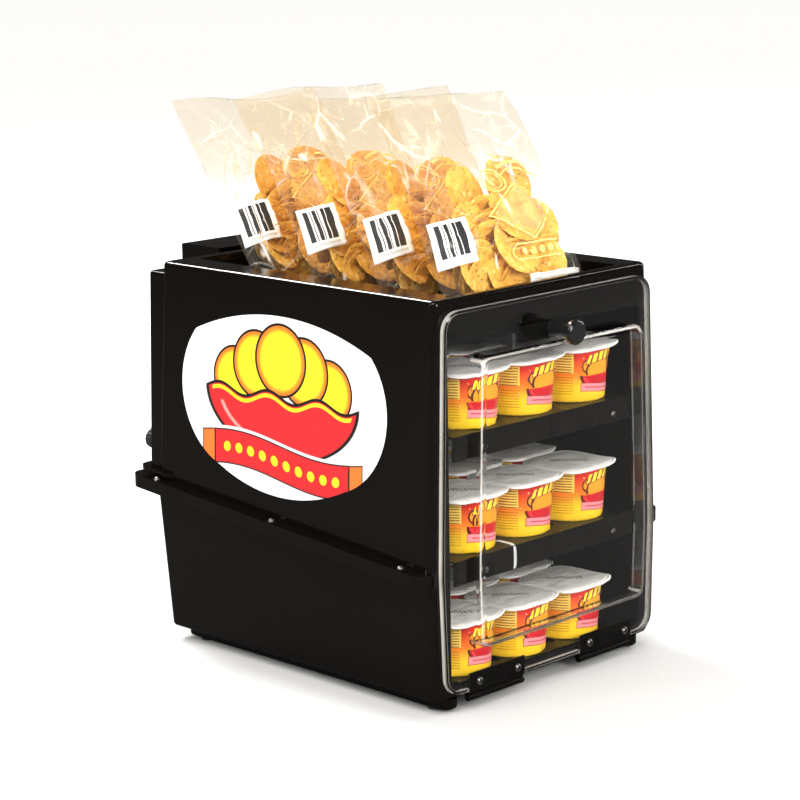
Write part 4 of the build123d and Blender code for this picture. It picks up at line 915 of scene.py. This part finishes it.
# --- Bags --------------------------------------------------------------------------------------
class Bag:
    """Where one bag stands, and the shape of its film, in its own leaning frame."""

    def __init__(self, number, look):
        self.number = number
        self.look = look
        joint = next(j for j in frame["joints"] if j["name"] == "bag_%d_lift" % number)
        self.up = Vector(joint["axis"]).normalized()
        self.thick = Vector((0, self.up.z, -self.up.y))
        self.node = "chip_bag_%d" % number
        corners = [v.co for v in frame["nodes"][self.node].data.vertices]
        along = [c.dot(self.up) for c in corners]
        across = [c.dot(self.thick) for c in corners]
        low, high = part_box(self.node)
        self.half_width = (high.x - low.x) / 2
        self.length = max(along) - min(along)
        self.half_thick = (max(across) - min(across)) / 2
        self.origin = self.up * min(along) + self.thick * (max(across) + min(across)) / 2
        self.seed = Vector((number * 13.7, number * 5.1, number * 2.9))

    def place(self, x, t, u):
        """From the bag's own width, thickness and length to the row frame."""
        return Vector((x, 0, 0)) + self.origin + self.thick * t + self.up * u

    def swell(self, v):
        """Share of the full thickness at a share v of the length."""
        knots = [(0.0, 0.02), (0.08, 0.62), (0.2, 0.9), (0.36, 0.97), (0.5, 0.86), (0.62, 0.66), (0.75, 0.4),
                 (0.88, 0.16), (0.95, 0.02), (1.0, 0.02)]
        for (v0, s0), (v1, s1) in zip(knots, knots[1:]):
            if v <= v1:
                share = (v - v0) / (v1 - v0)
                share = share * share * (3 - 2 * share)
                return s0 + (s1 - s0) * share
        return 0.02

    def width_at(self, v):
        """Half width: tucked in at the foot, pulled in where it is full, whole at the seal."""
        foot = 0.86 + 0.12 * min(1.0, v / 0.12)
        full = 0.055 * sin(pi * min(1.0, v / 0.9))
        return self.half_width * (foot + 0.02 * min(1.0, v) - full)

    def film(self, side, s, v):
        """A point of the film. side is -1 for the front and 1 for the back, s runs from -1 to 1."""
        plump = (1 - abs(s) ** 2.6) ** 0.62 if abs(s) < 1 else 0.0
        thick = self.half_thick * self.swell(v) * plump
        x = self.width_at(v) * s
        u = self.length * v
        spot = Vector((x * 16, u * 11, side * 3.0)) + self.seed
        fold = noise.noise(spot * 1.1)
        sharp = 1 - abs(noise.noise(spot * 2.1 + Vector((3, 1, side))))
        crack = 1 - abs(noise.noise(spot * 5.2 + Vector((7, side, 2))))
        empty = min(1.0, max(0.0, (v - 0.5) / 0.3)) * min(1.0, max(0.0, (0.96 - v) / 0.08))
        near_edge = 1 - plump
        inward = 0.0
        inward += (0.0035 + 0.0065 * empty) * (sharp ** 3) * plump
        inward += 0.0022 * (crack ** 5) * plump
        inward += 0.003 * fold * plump
        t = side * max(0.0005, thick - inward * (0.35 + 0.65 * min(1.0, thick / 0.012)))
        if abs(s) >= 1.0 or v <= 0.0 or v >= 1.0:
            t = 0.0
        wave = 0.006 * empty * noise.noise(Vector((x * 14, 0, self.seed.x)))
        droop = self.look.seal_wave * min(1.0, max(0.0, v - 0.7) / 0.25) * noise.noise(
            Vector((x * 9, 4.4, self.seed.x)))
        u += 0.004 * near_edge * fold * (1 if v < 0.93 else 0.3)
        return self.place(x, t + wave + droop, min(u, self.length * 1.005))


def bag_film_piece(bag, finish):
    """The closed film of one bag, front and back welded at its sides, foot and seal."""
    across, along = 56, 72
    points, maps, faces = [], [], []
    for side in (-1, 1):
        start = len(points)
        for j in range(along + 1):
            v = j / along
            for i in range(across + 1):
                s = -1 + 2 * i / across
                bent = s * (1.25 - 0.25 * abs(s))
                points.append(bag.film(side, max(-1.0, min(1.0, bent)), v))
                u = (i / across) if side < 0 else 1.05 + i / across
                maps.append((u, v))
        for j in range(along):
            for i in range(across):
                a = start + j * (across + 1) + i
                quad = (a, a + 1, a + across + 2, a + across + 1)
                faces.append(quad if side < 0 else tuple(reversed(quad)))
    piece = new_piece("bag_%d_film" % bag.number, points, faces, finish, True, maps)
    work = bmesh.new()
    work.from_mesh(piece.data)
    bmesh.ops.remove_doubles(work, verts=work.verts, dist=0.00005)
    bmesh.ops.dissolve_degenerate(work, edges=work.edges, dist=1e-6)
    work.to_mesh(piece.data)
    work.free()
    return settle(piece, "bag_%d" % bag.number, "bag_film", bag.node)


def patch(name, bag, s0, s1, v0, v1, finish, gap, twist=0.0):
    """A label that lies just off the front of the film."""
    nu, nv = 14, 14
    points, maps, faces = [], [], []
    for back in (False, True):
        start = len(points)
        for j in range(nv + 1):
            for i in range(nu + 1):
                fu, fv = i / nu, j / nv
                s = s0 + (s1 - s0) * fu + twist * (fv - 0.5)
                v = v0 + (v1 - v0) * fv
                here = bag.film(-1, s, v)
                right = bag.film(-1, min(s + 0.02, 1.0), v) - here
                upper = bag.film(-1, s, v + 0.01) - here
                out = right.cross(upper).normalized()
                points.append(here + out * (gap - (0.00018 if back else 0.0)))
                maps.append((fu, fv))
        for j in range(nv):
            for i in range(nu):
                a = start + j * (nu + 1) + i
                quad = (a, a + 1, a + nu + 2, a + nu + 1)
                faces.append(tuple(reversed(quad)) if back else quad)
    half = (nu + 1) * (nv + 1)
    row = nu + 1
    rim = [*range(row), *range(nu + row, row * nv + row, row), *range(nv * row + nu - 1, nv * row - 1, -1),
           *range((nv - 1) * row, 0, -row)]
    for a, b in zip(rim, rim[1:] + rim[:1]):
        faces.append((b, a, a + half, b + half))
    piece = new_piece(name, points, faces, finish, True, maps)
    return settle(piece, "bag_%d" % bag.number, "bag_film")


def chip_sample(radius, seed):
    """A thin corn chip, bent two ways, with an uneven edge."""
    around = 20
    shift = Vector((seed * 3.3, 1.7, seed))
    t = 0.0008
    rings = [(0.45, t), (0.8, t), (0.985, t * 0.8), (1.0, 0.0), (0.985, -t * 0.8), (0.8, -t), (0.45, -t)]
    points, faces = [], []
    bend, cross_bend = (0.003, -0.0022, 0.0042)[seed % 3], (0.001, 0.0022, -0.001)[seed % 3]
    for share, z in rings:
        for i in range(around):
            angle = 2 * pi * i / around
            edge = 1 + 0.035 * noise.noise(Vector((cos(angle) * 1.4, sin(angle) * 1.4, 0)) + shift)
            x, y = share * cos(angle) * edge, share * sin(angle) * edge
            buckle = noise.noise(Vector((x * 2.2, y * 2.2, 0)) + shift)
            lift = bend * x * x + cross_bend * y * y + 0.0012 * buckle
            points.append((x * radius, y * radius, z + lift))
    count = len(rings)
    for r in range(count - 1):
        for i in range(around):
            j = (i + 1) % around
            below = (r + 1) * around
            faces.append((r * around + i, below + i, below + j, r * around + j))
    for ring, up in ((0, True), (count - 1, False)):
        middle = len(points)
        loop = [ring * around + i for i in range(around)]
        centre = sum((Vector(points[i]) for i in loop), Vector()) / around
        points.append(tuple(centre))
        for i in range(around):
            j = (i + 1) % around
            faces.append((loop[i], loop[j], middle) if up else (loop[j], loop[i], middle))
    return new_piece("chip_sample", points, faces)


class ChipPile:
    """Places for one kind of chip in a bag, each moved until its rim stays inside the film."""

    def __init__(self, bag, look, kind):
        self.bag = bag
        self.kind = kind
        self.radius = look.chip_radius
        self.pick = random.Random(bag.number * 100 + kind)
        self.lean = Matrix((Vector((1, 0, 0)), bag.up, -bag.thick)).transposed()
        self.places = []

    def spread(self, reach):
        return self.pick.uniform(-reach, reach)

    def room(self, x, u):
        """Half the space between the films at a place."""
        v = min(1.0, max(0.0, u / self.bag.length))
        s = min(1.0, abs(x) / self.bag.width_at(v))
        return self.bag.half_thick * self.bag.swell(v) * (1 - s ** 2.6) ** 0.62 - 0.0035

    def poke(self, x, t, u, tip, roll, size):
        """How far the rim of a chip would stand out of the film."""
        turn = Euler((tip, roll, 0)).to_matrix()
        reach, worst = self.radius * size, -1.0
        for k in range(12):
            rim = turn @ Vector((reach * cos(k * pi / 6), reach * sin(k * pi / 6), 0))
            worst = max(worst, abs(t - rim.z) - self.room(x + rim.x, u + rim.y))
        return worst

    def add(self, x, t, u, tip, roll, spin, size):
        """Pulls a chip inwards, flatter and smaller in small steps; leaves it out if it still pokes out."""
        steps, slack = 14, 0.0015
        for _ in range(steps):
            over = self.poke(x, t, u, tip, roll, size)
            if over <= 0:
                break
            t *= 0.8
            x *= 0.96
            u += 0.001 if u < self.bag.length * 0.25 else -0.0015
            size *= 0.975
            tip, roll = tip * 0.9, roll * 0.9
        if over > slack:
            return
        turn = self.lean @ Euler((tip, roll, 0)).to_matrix() @ Matrix.Rotation(spin, 3, "Z")
        self.places.append((self.bag.place(x, t, u), Vector(turn.to_euler()), Vector((size, size, size))))

    def facing(self):
        """Whole chips that lie against the front film."""
        spots = ((-0.062, 0.052), (-0.012, 0.045), (0.045, 0.05), (-0.045, 0.098), (0.012, 0.1),
                 (0.058, 0.094), (-0.03, 0.138), (0.03, 0.14), (0.0, 0.07), (-0.066, 0.085))
        for x, u in spots:
            side = x / self.bag.half_width
            swell = self.bag.swell(u / self.bag.length)
            depth = -self.bag.half_thick * swell * (1 - abs(side) ** 2.4) * 0.62
            size = self.pick.uniform(0.9, 1.02)
            self.add(x + self.spread(0.006), depth, u + self.spread(0.005), self.spread(0.22),
                     side * -0.5 + self.spread(0.16), self.pick.uniform(0, 6.28), size)

    def stacked(self):
        """Chips on edge, in stacks that two kinds share turn by turn."""
        stacks = ((-0.05, 0.03, 7), (0.0, 0.035, 8), (0.052, 0.03, 7), (-0.02, 0.085, 6), (0.04, 0.08, 6),
                  (-0.06, 0.08, 4))
        for x, u, count in stacks:
            tip = self.pick.uniform(0.95, 1.35)
            roll = self.spread(0.35)
            for k in range(self.kind % 2, count, 2):
                self.add(x + self.spread(0.008), self.spread(0.006), u + k * 0.0062, tip + self.spread(0.14),
                         roll + self.spread(0.14), self.pick.uniform(0, 6.28), self.pick.uniform(0.78, 0.86))


def bag_chips(bag, look, finish):
    made = []
    for kind in range(3):
        pile = ChipPile(bag, look, kind)
        if kind == 0:
            pile.facing()
        else:
            pile.stacked()
        sample = chip_sample(pile.radius, kind)
        piece = scatter("bag_%d_chips_%d" % (bag.number, kind + 1), pile.places, sample, finish)
        drop(sample)
        made.append(settle(piece, "bag_%d" % bag.number, "bag_film"))
    return made


# --- Stage -------------------------------------------------------------------------------------
def lamp(name, place, aim, size, power, colour=(1.0, 0.98, 0.95)):
    data = bpy.data.lights.new(name, "AREA")
    data.shape = "RECTANGLE"
    data.size, data.size_y = size
    data.energy = power
    data.color = colour
    light = bpy.data.objects.new(name, data)
    light.location = place
    light.rotation_mode = "QUATERNION"
    light.rotation_quaternion = (Vector(aim) - Vector(place)).to_track_quat("-Z", "Y")
    bpy.context.scene.collection.objects.link(light)
    return light


def studio_air(strength):
    """White surroundings that light the object but hardly mirror in its gloss."""
    world = bpy.data.worlds.new("Studio air")
    bpy.context.scene.world = world
    world.use_nodes = True
    tree = world.node_tree
    tree.nodes.clear()
    bright = tree.nodes.new("ShaderNodeBackground")
    bright.inputs[0].default_value = (1.0, 0.995, 0.985, 1)
    bright.inputs[1].default_value = strength
    dim = tree.nodes.new("ShaderNodeBackground")
    dim.inputs[0].default_value = (1, 0.98, 0.95, 1)
    dim.inputs[1].default_value = strength * 0.04
    path = tree.nodes.new("ShaderNodeLightPath")
    mix = tree.nodes.new("ShaderNodeMixShader")
    out = tree.nodes.new("ShaderNodeOutputWorld")
    tree.links.new(path.outputs["Is Glossy Ray"], mix.inputs[0])
    tree.links.new(bright.outputs[0], mix.inputs[1])
    tree.links.new(dim.outputs[0], mix.inputs[2])
    tree.links.new(mix.outputs[0], out.inputs[0])


def pale_floor(look):
    f = Finish("Pale floor")
    x, y, _ = f.parts(f.at())
    # Painted shade and light: the floor is darker near the object, so that its shadows show, and brighter far
    # off, so that it reads white.
    painted_floor_falloff = ((x ** 2.0 + y ** 2.0) ** 0.5).above(1.5, 1.1)
    base = f.paint(painted_floor_falloff, tuple(c * 0.64 for c in look.floor), tuple(look.floor))
    matt = f.shader(Base_Color=base, Roughness=0.9, Specular_IOR_Level=0.1)
    # Painted shade in reflections: a dark copy of the floor is what the gloss mirrors.
    dim = f.shader(Base_Color=tuple(c * 0.06 for c in look.floor), Roughness=1.0)
    mirrored = f.node("LightPath", output=3)
    material = f.show(f.node("MixShader", None, [mirrored, matt, dim]))
    half = look.floor_half
    points = [(-half, -half, 0), (half, -half, 0), (half, half, 0), (-half, half, 0)]
    floor = new_piece("floor", points, [(0, 1, 2, 3)], material, False)
    return floor


def place_camera(look):
    data = bpy.data.cameras.new("Camera")
    data.sensor_width = 36.0
    data.lens = look.focal
    camera = bpy.data.objects.new("Camera", data)
    forward = Vector((sin(look.heading) * cos(look.dip), cos(look.heading) * cos(look.dip), -sin(look.dip)))
    right = forward.cross(Vector((0, 0, 1))).normalized()
    up = right.cross(forward)
    tilted = cos(look.roll) * right + sin(look.roll) * up
    upright = cos(look.roll) * up - sin(look.roll) * right
    turn = Matrix((tilted, upright, -forward)).transposed().to_4x4()
    camera.matrix_world = Matrix.Translation(Vector(look.eye)) @ turn
    bpy.context.scene.collection.objects.link(camera)
    bpy.context.scene.camera = camera
    return camera


# --- Settings ----------------------------------------------------------------------------------
def colour_setting(name, about, default):
    return FloatVectorProperty(name=name, description=about, subtype="COLOR", size=3, min=0.0, max=1.0,
                               default=default)


class ShellLook(bpy.types.PropertyGroup):
    plastic: colour_setting("Plastic", "Colour of the formed shells", (0.0024, 0.0019, 0.0015))
    gloss: FloatProperty(name="Gloss roughness", description="Roughness of the shells' surface", default=0.09,
                         min=0.0, max=1.0, subtype="FACTOR")
    paint: colour_setting("Paint", "Colour of the rack and shelves", (0.0035, 0.0028, 0.0022))
    steel: colour_setting("Screws", "Colour of the screw heads", (0.3, 0.29, 0.28))


class CupLook(bpy.types.PropertyGroup):
    columns: IntProperty(name="Columns", description="Cups side by side", default=3, min=1, max=6)
    rows: IntProperty(name="Rows", description="Cups from front to back", default=4, min=1, max=6)
    pitch: FloatProperty(name="Pitch", description="Distance between cup centres", default=0.082,
                         unit="LENGTH")
    lid_thickness: FloatProperty(name="Lid thickness", description="Height of a lid over its cup",
                                 default=0.0024, unit="LENGTH")
    cup_turn: FloatProperty(name="Turn", description="Most that a cup is turned out of line", default=0.13,
                            subtype="ANGLE")
    cup_high: colour_setting("Top print", "Print colour under the lid", (0.7, 0.022, 0.012))
    cup_middle: colour_setting("Middle print", "Print colour at mid height", (0.93, 0.2, 0.012))
    cup_low: colour_setting("Low print", "Print colour at the foot", (0.98, 0.62, 0.02))


class BagLook(bpy.types.PropertyGroup):
    chip_radius: FloatProperty(name="Chip radius", description="Radius of one chip", default=0.034,
                               unit="LENGTH")
    seal_wave: FloatProperty(name="Seal wave", description="How far the top seal waves", default=0.02,
                             unit="LENGTH")
    chip: colour_setting("Chip", "Colour of a chip", (0.88, 0.5, 0.075))
    chip_toasted: colour_setting("Toasted", "Colour of its toasted patches", (0.72, 0.32, 0.03))
    gold: colour_setting("Gold print", "Print on the film", (0.86, 0.66, 0.14))


class BadgeLook(bpy.types.PropertyGroup):
    badge_red: colour_setting("Red", "Bowl and ribbon", (0.62, 0.014, 0.018))
    badge_yellow: colour_setting("Yellow", "Chips and trim", (0.78, 0.72, 0.012))


class StageLook(bpy.types.PropertyGroup):
    eye: FloatVectorProperty(name="Eye", description="Where the camera stands", subtype="TRANSLATION",
                             unit="LENGTH", default=(-1.8417, -1.8532, 0.8184))
    heading: FloatProperty(name="Heading", description="Camera heading from +Y towards +X", subtype="ANGLE",
                           default=0.7866)
    dip: FloatProperty(name="Dip", description="How far the camera looks down", subtype="ANGLE",
                       default=0.2102)
    roll: FloatProperty(name="Roll", description="Camera roll", subtype="ANGLE", default=-0.0179)
    focal: FloatProperty(name="Focal length", description="Lens, in millimetres on a 36 mm sensor",
                         default=113.44)
    floor: colour_setting("Floor", "Colour of the floor", (0.93, 0.925, 0.915))
    floor_half: FloatProperty(name="Floor half side", description="Half the floor's side", default=30.0,
                              unit="LENGTH")
    air: FloatProperty(name="Air", description="Strength of the surroundings", default=1.1)
    key: FloatProperty(name="Key", description="Power of the main lamp", default=55.0, unit="POWER")


# --- Operators ---------------------------------------------------------------------------------
class WARMER_OT_stage(bpy.types.Operator):
    """Pale floor, soft lamps and camera"""

    bl_idname = "warmer.stage"
    bl_label = "Set the stage"

    def execute(self, context):
        look = context.scene.warmer_stage
        scene = context.scene
        scene.view_settings.view_transform = "Standard"
        scene.cycles.transparent_max_bounces = 40
        scene.cycles.max_bounces = 16
        scene.cycles.transmission_bounces = 12
        pale_floor(look)
        studio_air(look.air)
        aim = (0, 0, 0.25)
        lamp("key_lamp", (-1.6, -0.5, 2.4), aim, (1.6, 1.6), look.key * 0.7)
        lamp("front_lamp", (-0.6, -2.6, 1.2), (0, -0.2, 0.2), (0.9, 1.2), look.key * 0.9)
        lamp("back_lamp", (0.2, 2.0, 2.6), aim, (1.0, 1.0), look.key * 2.5)
        lamp("left_strip", (-2.6, 0.9, 1.1), aim, (0.3, 1.8), look.key * 0.3)
        lamp("right_strip", (2.3, -1.1, 1.2), aim, (0.35, 1.8), look.key * 0.3)
        place_camera(look)
        return {"FINISHED"}


class WARMER_OT_shells(bpy.types.Operator):
    """Formed shells, rear cover, duct, runners and feet"""

    bl_idname = "warmer.shells"
    bl_label = "Finish the shells"

    def execute(self, context):
        look = context.scene.warmer_shell
        plastic = formed_plastic("Black formed plastic", tuple(look.plastic), look.gloss)
        dress(plastic, "upper_shell", "lower_shell", "rear_cover", "rear_housing", "runner_left",
              "runner_right")
        dress(soft_rubber("Black rubber", (0.018, 0.018, 0.018)), "foot_left_front", "foot_right_front",
              "foot_left_rear", "foot_right_rear")
        return {"FINISHED"}


class WARMER_OT_door(bpy.types.Operator):
    """Clear door with its knob, strike plate and hinges"""

    bl_idname = "warmer.door"
    bl_label = "Finish the door"

    def execute(self, context):
        look = context.scene.warmer_shell
        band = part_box("door_panel")[1].y - 3.4 * MM
        dress(clear_sheet("Clear drawn plastic with painted edge highlights", (0.985, 0.985, 0.98), band), "door_panel")
        dress(moulded_plastic("Polished black knob", (0.008, 0.008, 0.008), 0.05, 0.6), "door_knob")
        strike = bare_metal("Dark strike", (0.05, 0.048, 0.045), 0.35, (12.0, 1.0, 1.0))
        dress(strike, "strike_plate", "hinge_pins")
        leaves = painted_sheet("Black hinge paint", tuple(look.paint), 0.28)
        dress(leaves, "door_leaf_left", "door_leaf_right", "body_leaf_left", "body_leaf_right")
        dress(moulded_plastic("Black catch", (0.014, 0.014, 0.014), 0.4), "catch_body")
        dress(bare_metal("Ferrite", (0.12, 0.12, 0.125), 0.45, (1.0, 1.0, 1.0)), "catch_magnets")
        return {"FINISHED"}


def tie_loop(finish):
    """A strap bent round the shelf lip in one soft loop, with its locking head behind the lip."""
    low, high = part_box("cable_tie")
    half_x, thick = 1.8 * MM, 1.1 * MM
    back = high.y - 3.9 * MM
    centre_y, centre_z = (low.y + back) / 2, (low.z + high.z) / 2
    half_y, half_z = (back - low.y) / 2, (high.z - low.z) / 2
    around, points = 72, []
    middle = (low.x + high.x) / 2
    for side, inset in ((-half_x, 0.0), (half_x, 0.0), (half_x, thick), (-half_x, thick)):
        for i in range(around):
            y, z = squarish(2 * pi * i / around, 1.0, 5.0)
            points.append((middle + side, centre_y + y * (half_y - inset), centre_z + z * (half_z - inset)))
    faces = []
    for k in range(4):
        for i in range(around):
            j = (i + 1) % around
            m = (k + 1) % 4
            faces.append((k * around + i, m * around + i, m * around + j, k * around + j))
    strap = new_piece("tie_strap", points, faces, finish)
    settle(strap, CABINET, "tie_nylon", "cable_tie")
    head = bmesh.new()
    size = Matrix.Diagonal((6.0 * MM, 4.0 * MM, 6.0 * MM, 1.0))
    spot = Matrix.Translation((middle, back + 1.6 * MM, high.z - 13 * MM))
    bmesh.ops.create_cube(head, size=1.0, matrix=spot @ size)
    bmesh.ops.bevel(head, geom=head.edges[:], offset=0.7 * MM, segments=3, affect="EDGES")
    mesh = bpy.data.meshes.new("tie_head")
    head.to_mesh(mesh)
    head.free()
    mesh.materials.append(finish)
    lock = bpy.data.objects.new("tie_head", mesh)
    bpy.context.scene.collection.objects.link(lock)
    settle(lock, CABINET, "tie_nylon")


class WARMER_OT_rack(bpy.types.Operator):
    """Rack, rails, shelves, lips, rivets and the nylon tie"""

    bl_idname = "warmer.rack"
    bl_label = "Finish the rack"

    def execute(self, context):
        look = context.scene.warmer_shell
        paint = painted_sheet("Black rack paint", tuple(look.paint), 0.3)
        sided = ("rack_side", "rail_middle", "rail_top", "lip_middle", "lip_top")
        dress(paint, *(name + side for name in sided for side in ("_left", "_right")))
        dress(paint, "shelf_bottom", "shelf_middle", "shelf_top")
        dress(bare_metal("Rivet alloy", (0.16, 0.155, 0.15), 0.3), "shelf_rivets")
        dress(bare_metal("Galvanised sheet", (0.5, 0.5, 0.49), 0.34, (6.0, 1.0, 1.0)), "back_panel")
        tie_loop(woven_tie("Natural nylon"))
        return {"FINISHED"}


class WARMER_OT_cups(bpy.types.Operator):
    """Printed cheese cups with foil lids on all three shelves"""

    bl_idname = "warmer.cups"
    bl_label = "Fill the shelves with cups"

    def execute(self, context):
        look = context.scene.warmer_cups
        print_finish = printed_cup("Cup print", look)
        foil = foil_lid("Lid foil")
        for tier in ("bottom", "middle", "top"):
            make_cups(tier, look, print_finish, foil)
        return {"FINISHED"}


class WARMER_OT_bags(bpy.types.Operator):
    """Four film bags of chips with their labels"""

    bl_idname = "warmer.bags"
    bl_label = "Fill the well with bags"

    def execute(self, context):
        look = context.scene.warmer_bags
        film = bag_film("Bag film", look)
        chip = toasted_chip("Corn chip", look)
        bars = bar_label("Bar label")
        strip = strip_label("Strip label")
        for number in range(1, 5):
            bag = Bag(number, look)
            bag_chips(bag, look, chip)
            bag_film_piece(bag, film)
            patch("bag_%d_bar_label" % number, bag, -0.98, -0.58, 0.25, 0.44, bars, 0.0006, 0.03)
            patch("bag_%d_strip" % number, bag, 0.0, 0.85, 0.09, 0.155, strip, 0.0006)
        return {"FINISHED"}


class WARMER_OT_rear(bpy.types.Operator):
    """Fan, heater, thermostat, dial, switch and cord bushing"""

    bl_idname = "warmer.rear"
    bl_label = "Finish the warming parts"

    def execute(self, context):
        dress(moulded_plastic("Fan plastic", (0.02, 0.02, 0.022), 0.42), "fan_frame", "fan_rotor")
        dress(heated_steel("Heater sheath", (0.34, 0.32, 0.3)), "heater_element")
        dress(bare_metal("Bright clips", (0.55, 0.55, 0.53), 0.28), "heater_clips")
        dress(moulded_plastic("Control plastic", (0.016, 0.016, 0.016), 0.38), "switch_body", "thermostat",
              "cord_gland")
        low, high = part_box("thermostat_knob")
        dress(marked_dial("Marked dial", (0.02, 0.02, 0.02), (low + high) / 2), "thermostat_knob")
        dress(moulded_plastic("Rocker plastic", (0.32, 0.012, 0.01), 0.25, 0.3), "switch_rocker")
        return {"FINISHED"}


class WARMER_OT_badges(bpy.types.Operator):
    """Printed labels on both side walls"""

    bl_idname = "warmer.badges"
    bl_label = "Print the badges"

    def execute(self, context):
        look = context.scene.warmer_badge
        for name in ("badge_left", "badge_right"):
            low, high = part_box(name)
            dress(badge_print("Print on " + name, (low + high) / 2, look), name)
        return {"FINISHED"}


class WARMER_OT_screws(bpy.types.Operator):
    """Domed screws with cross recesses"""

    bl_idname = "warmer.screws"
    bl_label = "Fit the screws"

    def execute(self, context):
        look = context.scene.warmer_shell
        metal = screw_metal("Screw metal with painted recess shade", tuple(look.steel))
        front = (0, -1, 0)
        dome = (0.0044, 0.0026)
        screw_set("hinge_screws_door", "door_hinge_screws", "door", "dark_screw", lambda a, b: front, dome,
                  0.002, metal)
        for name in ("cabinet_screws", "rear_screws", "fan_screws", "body_hinge_screws", "knob_screw"):
            dress(bare_metal("Plated " + name, tuple(look.steel), 0.2), name)
        return {"FINISHED"}


STEPS = (WARMER_OT_stage, WARMER_OT_shells, WARMER_OT_door, WARMER_OT_rack, WARMER_OT_cups, WARMER_OT_bags,
         WARMER_OT_rear, WARMER_OT_badges, WARMER_OT_screws)
LOOKS = (("warmer_shell", ShellLook), ("warmer_cups", CupLook), ("warmer_bags", BagLook),
         ("warmer_badge", BadgeLook), ("warmer_stage", StageLook))


class WARMER_PT_steps(bpy.types.Panel):
    """Lists the steps and settings"""

    bl_idname = "WARMER_PT_steps"
    bl_label = "Warmer"
    bl_space_type = "VIEW_3D"
    bl_region_type = "UI"
    bl_category = "Warmer"

    def draw(self, context):
        column = self.layout.column()
        for step in STEPS:
            column.operator(step.bl_idname)
        for attribute, look in LOOKS:
            group = getattr(context.scene, attribute)
            column.separator()
            for key in look.__annotations__:
                column.prop(group, key)


def register():
    for attribute, look in LOOKS:
        bpy.utils.register_class(look)
        setattr(bpy.types.Scene, attribute, PointerProperty(type=look))
    for step in STEPS:
        bpy.utils.register_class(step)
    bpy.utils.register_class(WARMER_PT_steps)


def unregister():
    bpy.utils.unregister_class(WARMER_PT_steps)
    for step in reversed(STEPS):
        bpy.utils.unregister_class(step)
    for attribute, look in reversed(LOOKS):
        delattr(bpy.types.Scene, attribute)
        bpy.utils.unregister_class(look)


def main():
    register()
    for step in STEPS:
        group, action = step.bl_idname.split(".")
        getattr(getattr(bpy.ops, group), action)()


if __name__ == "__main__":
    main()
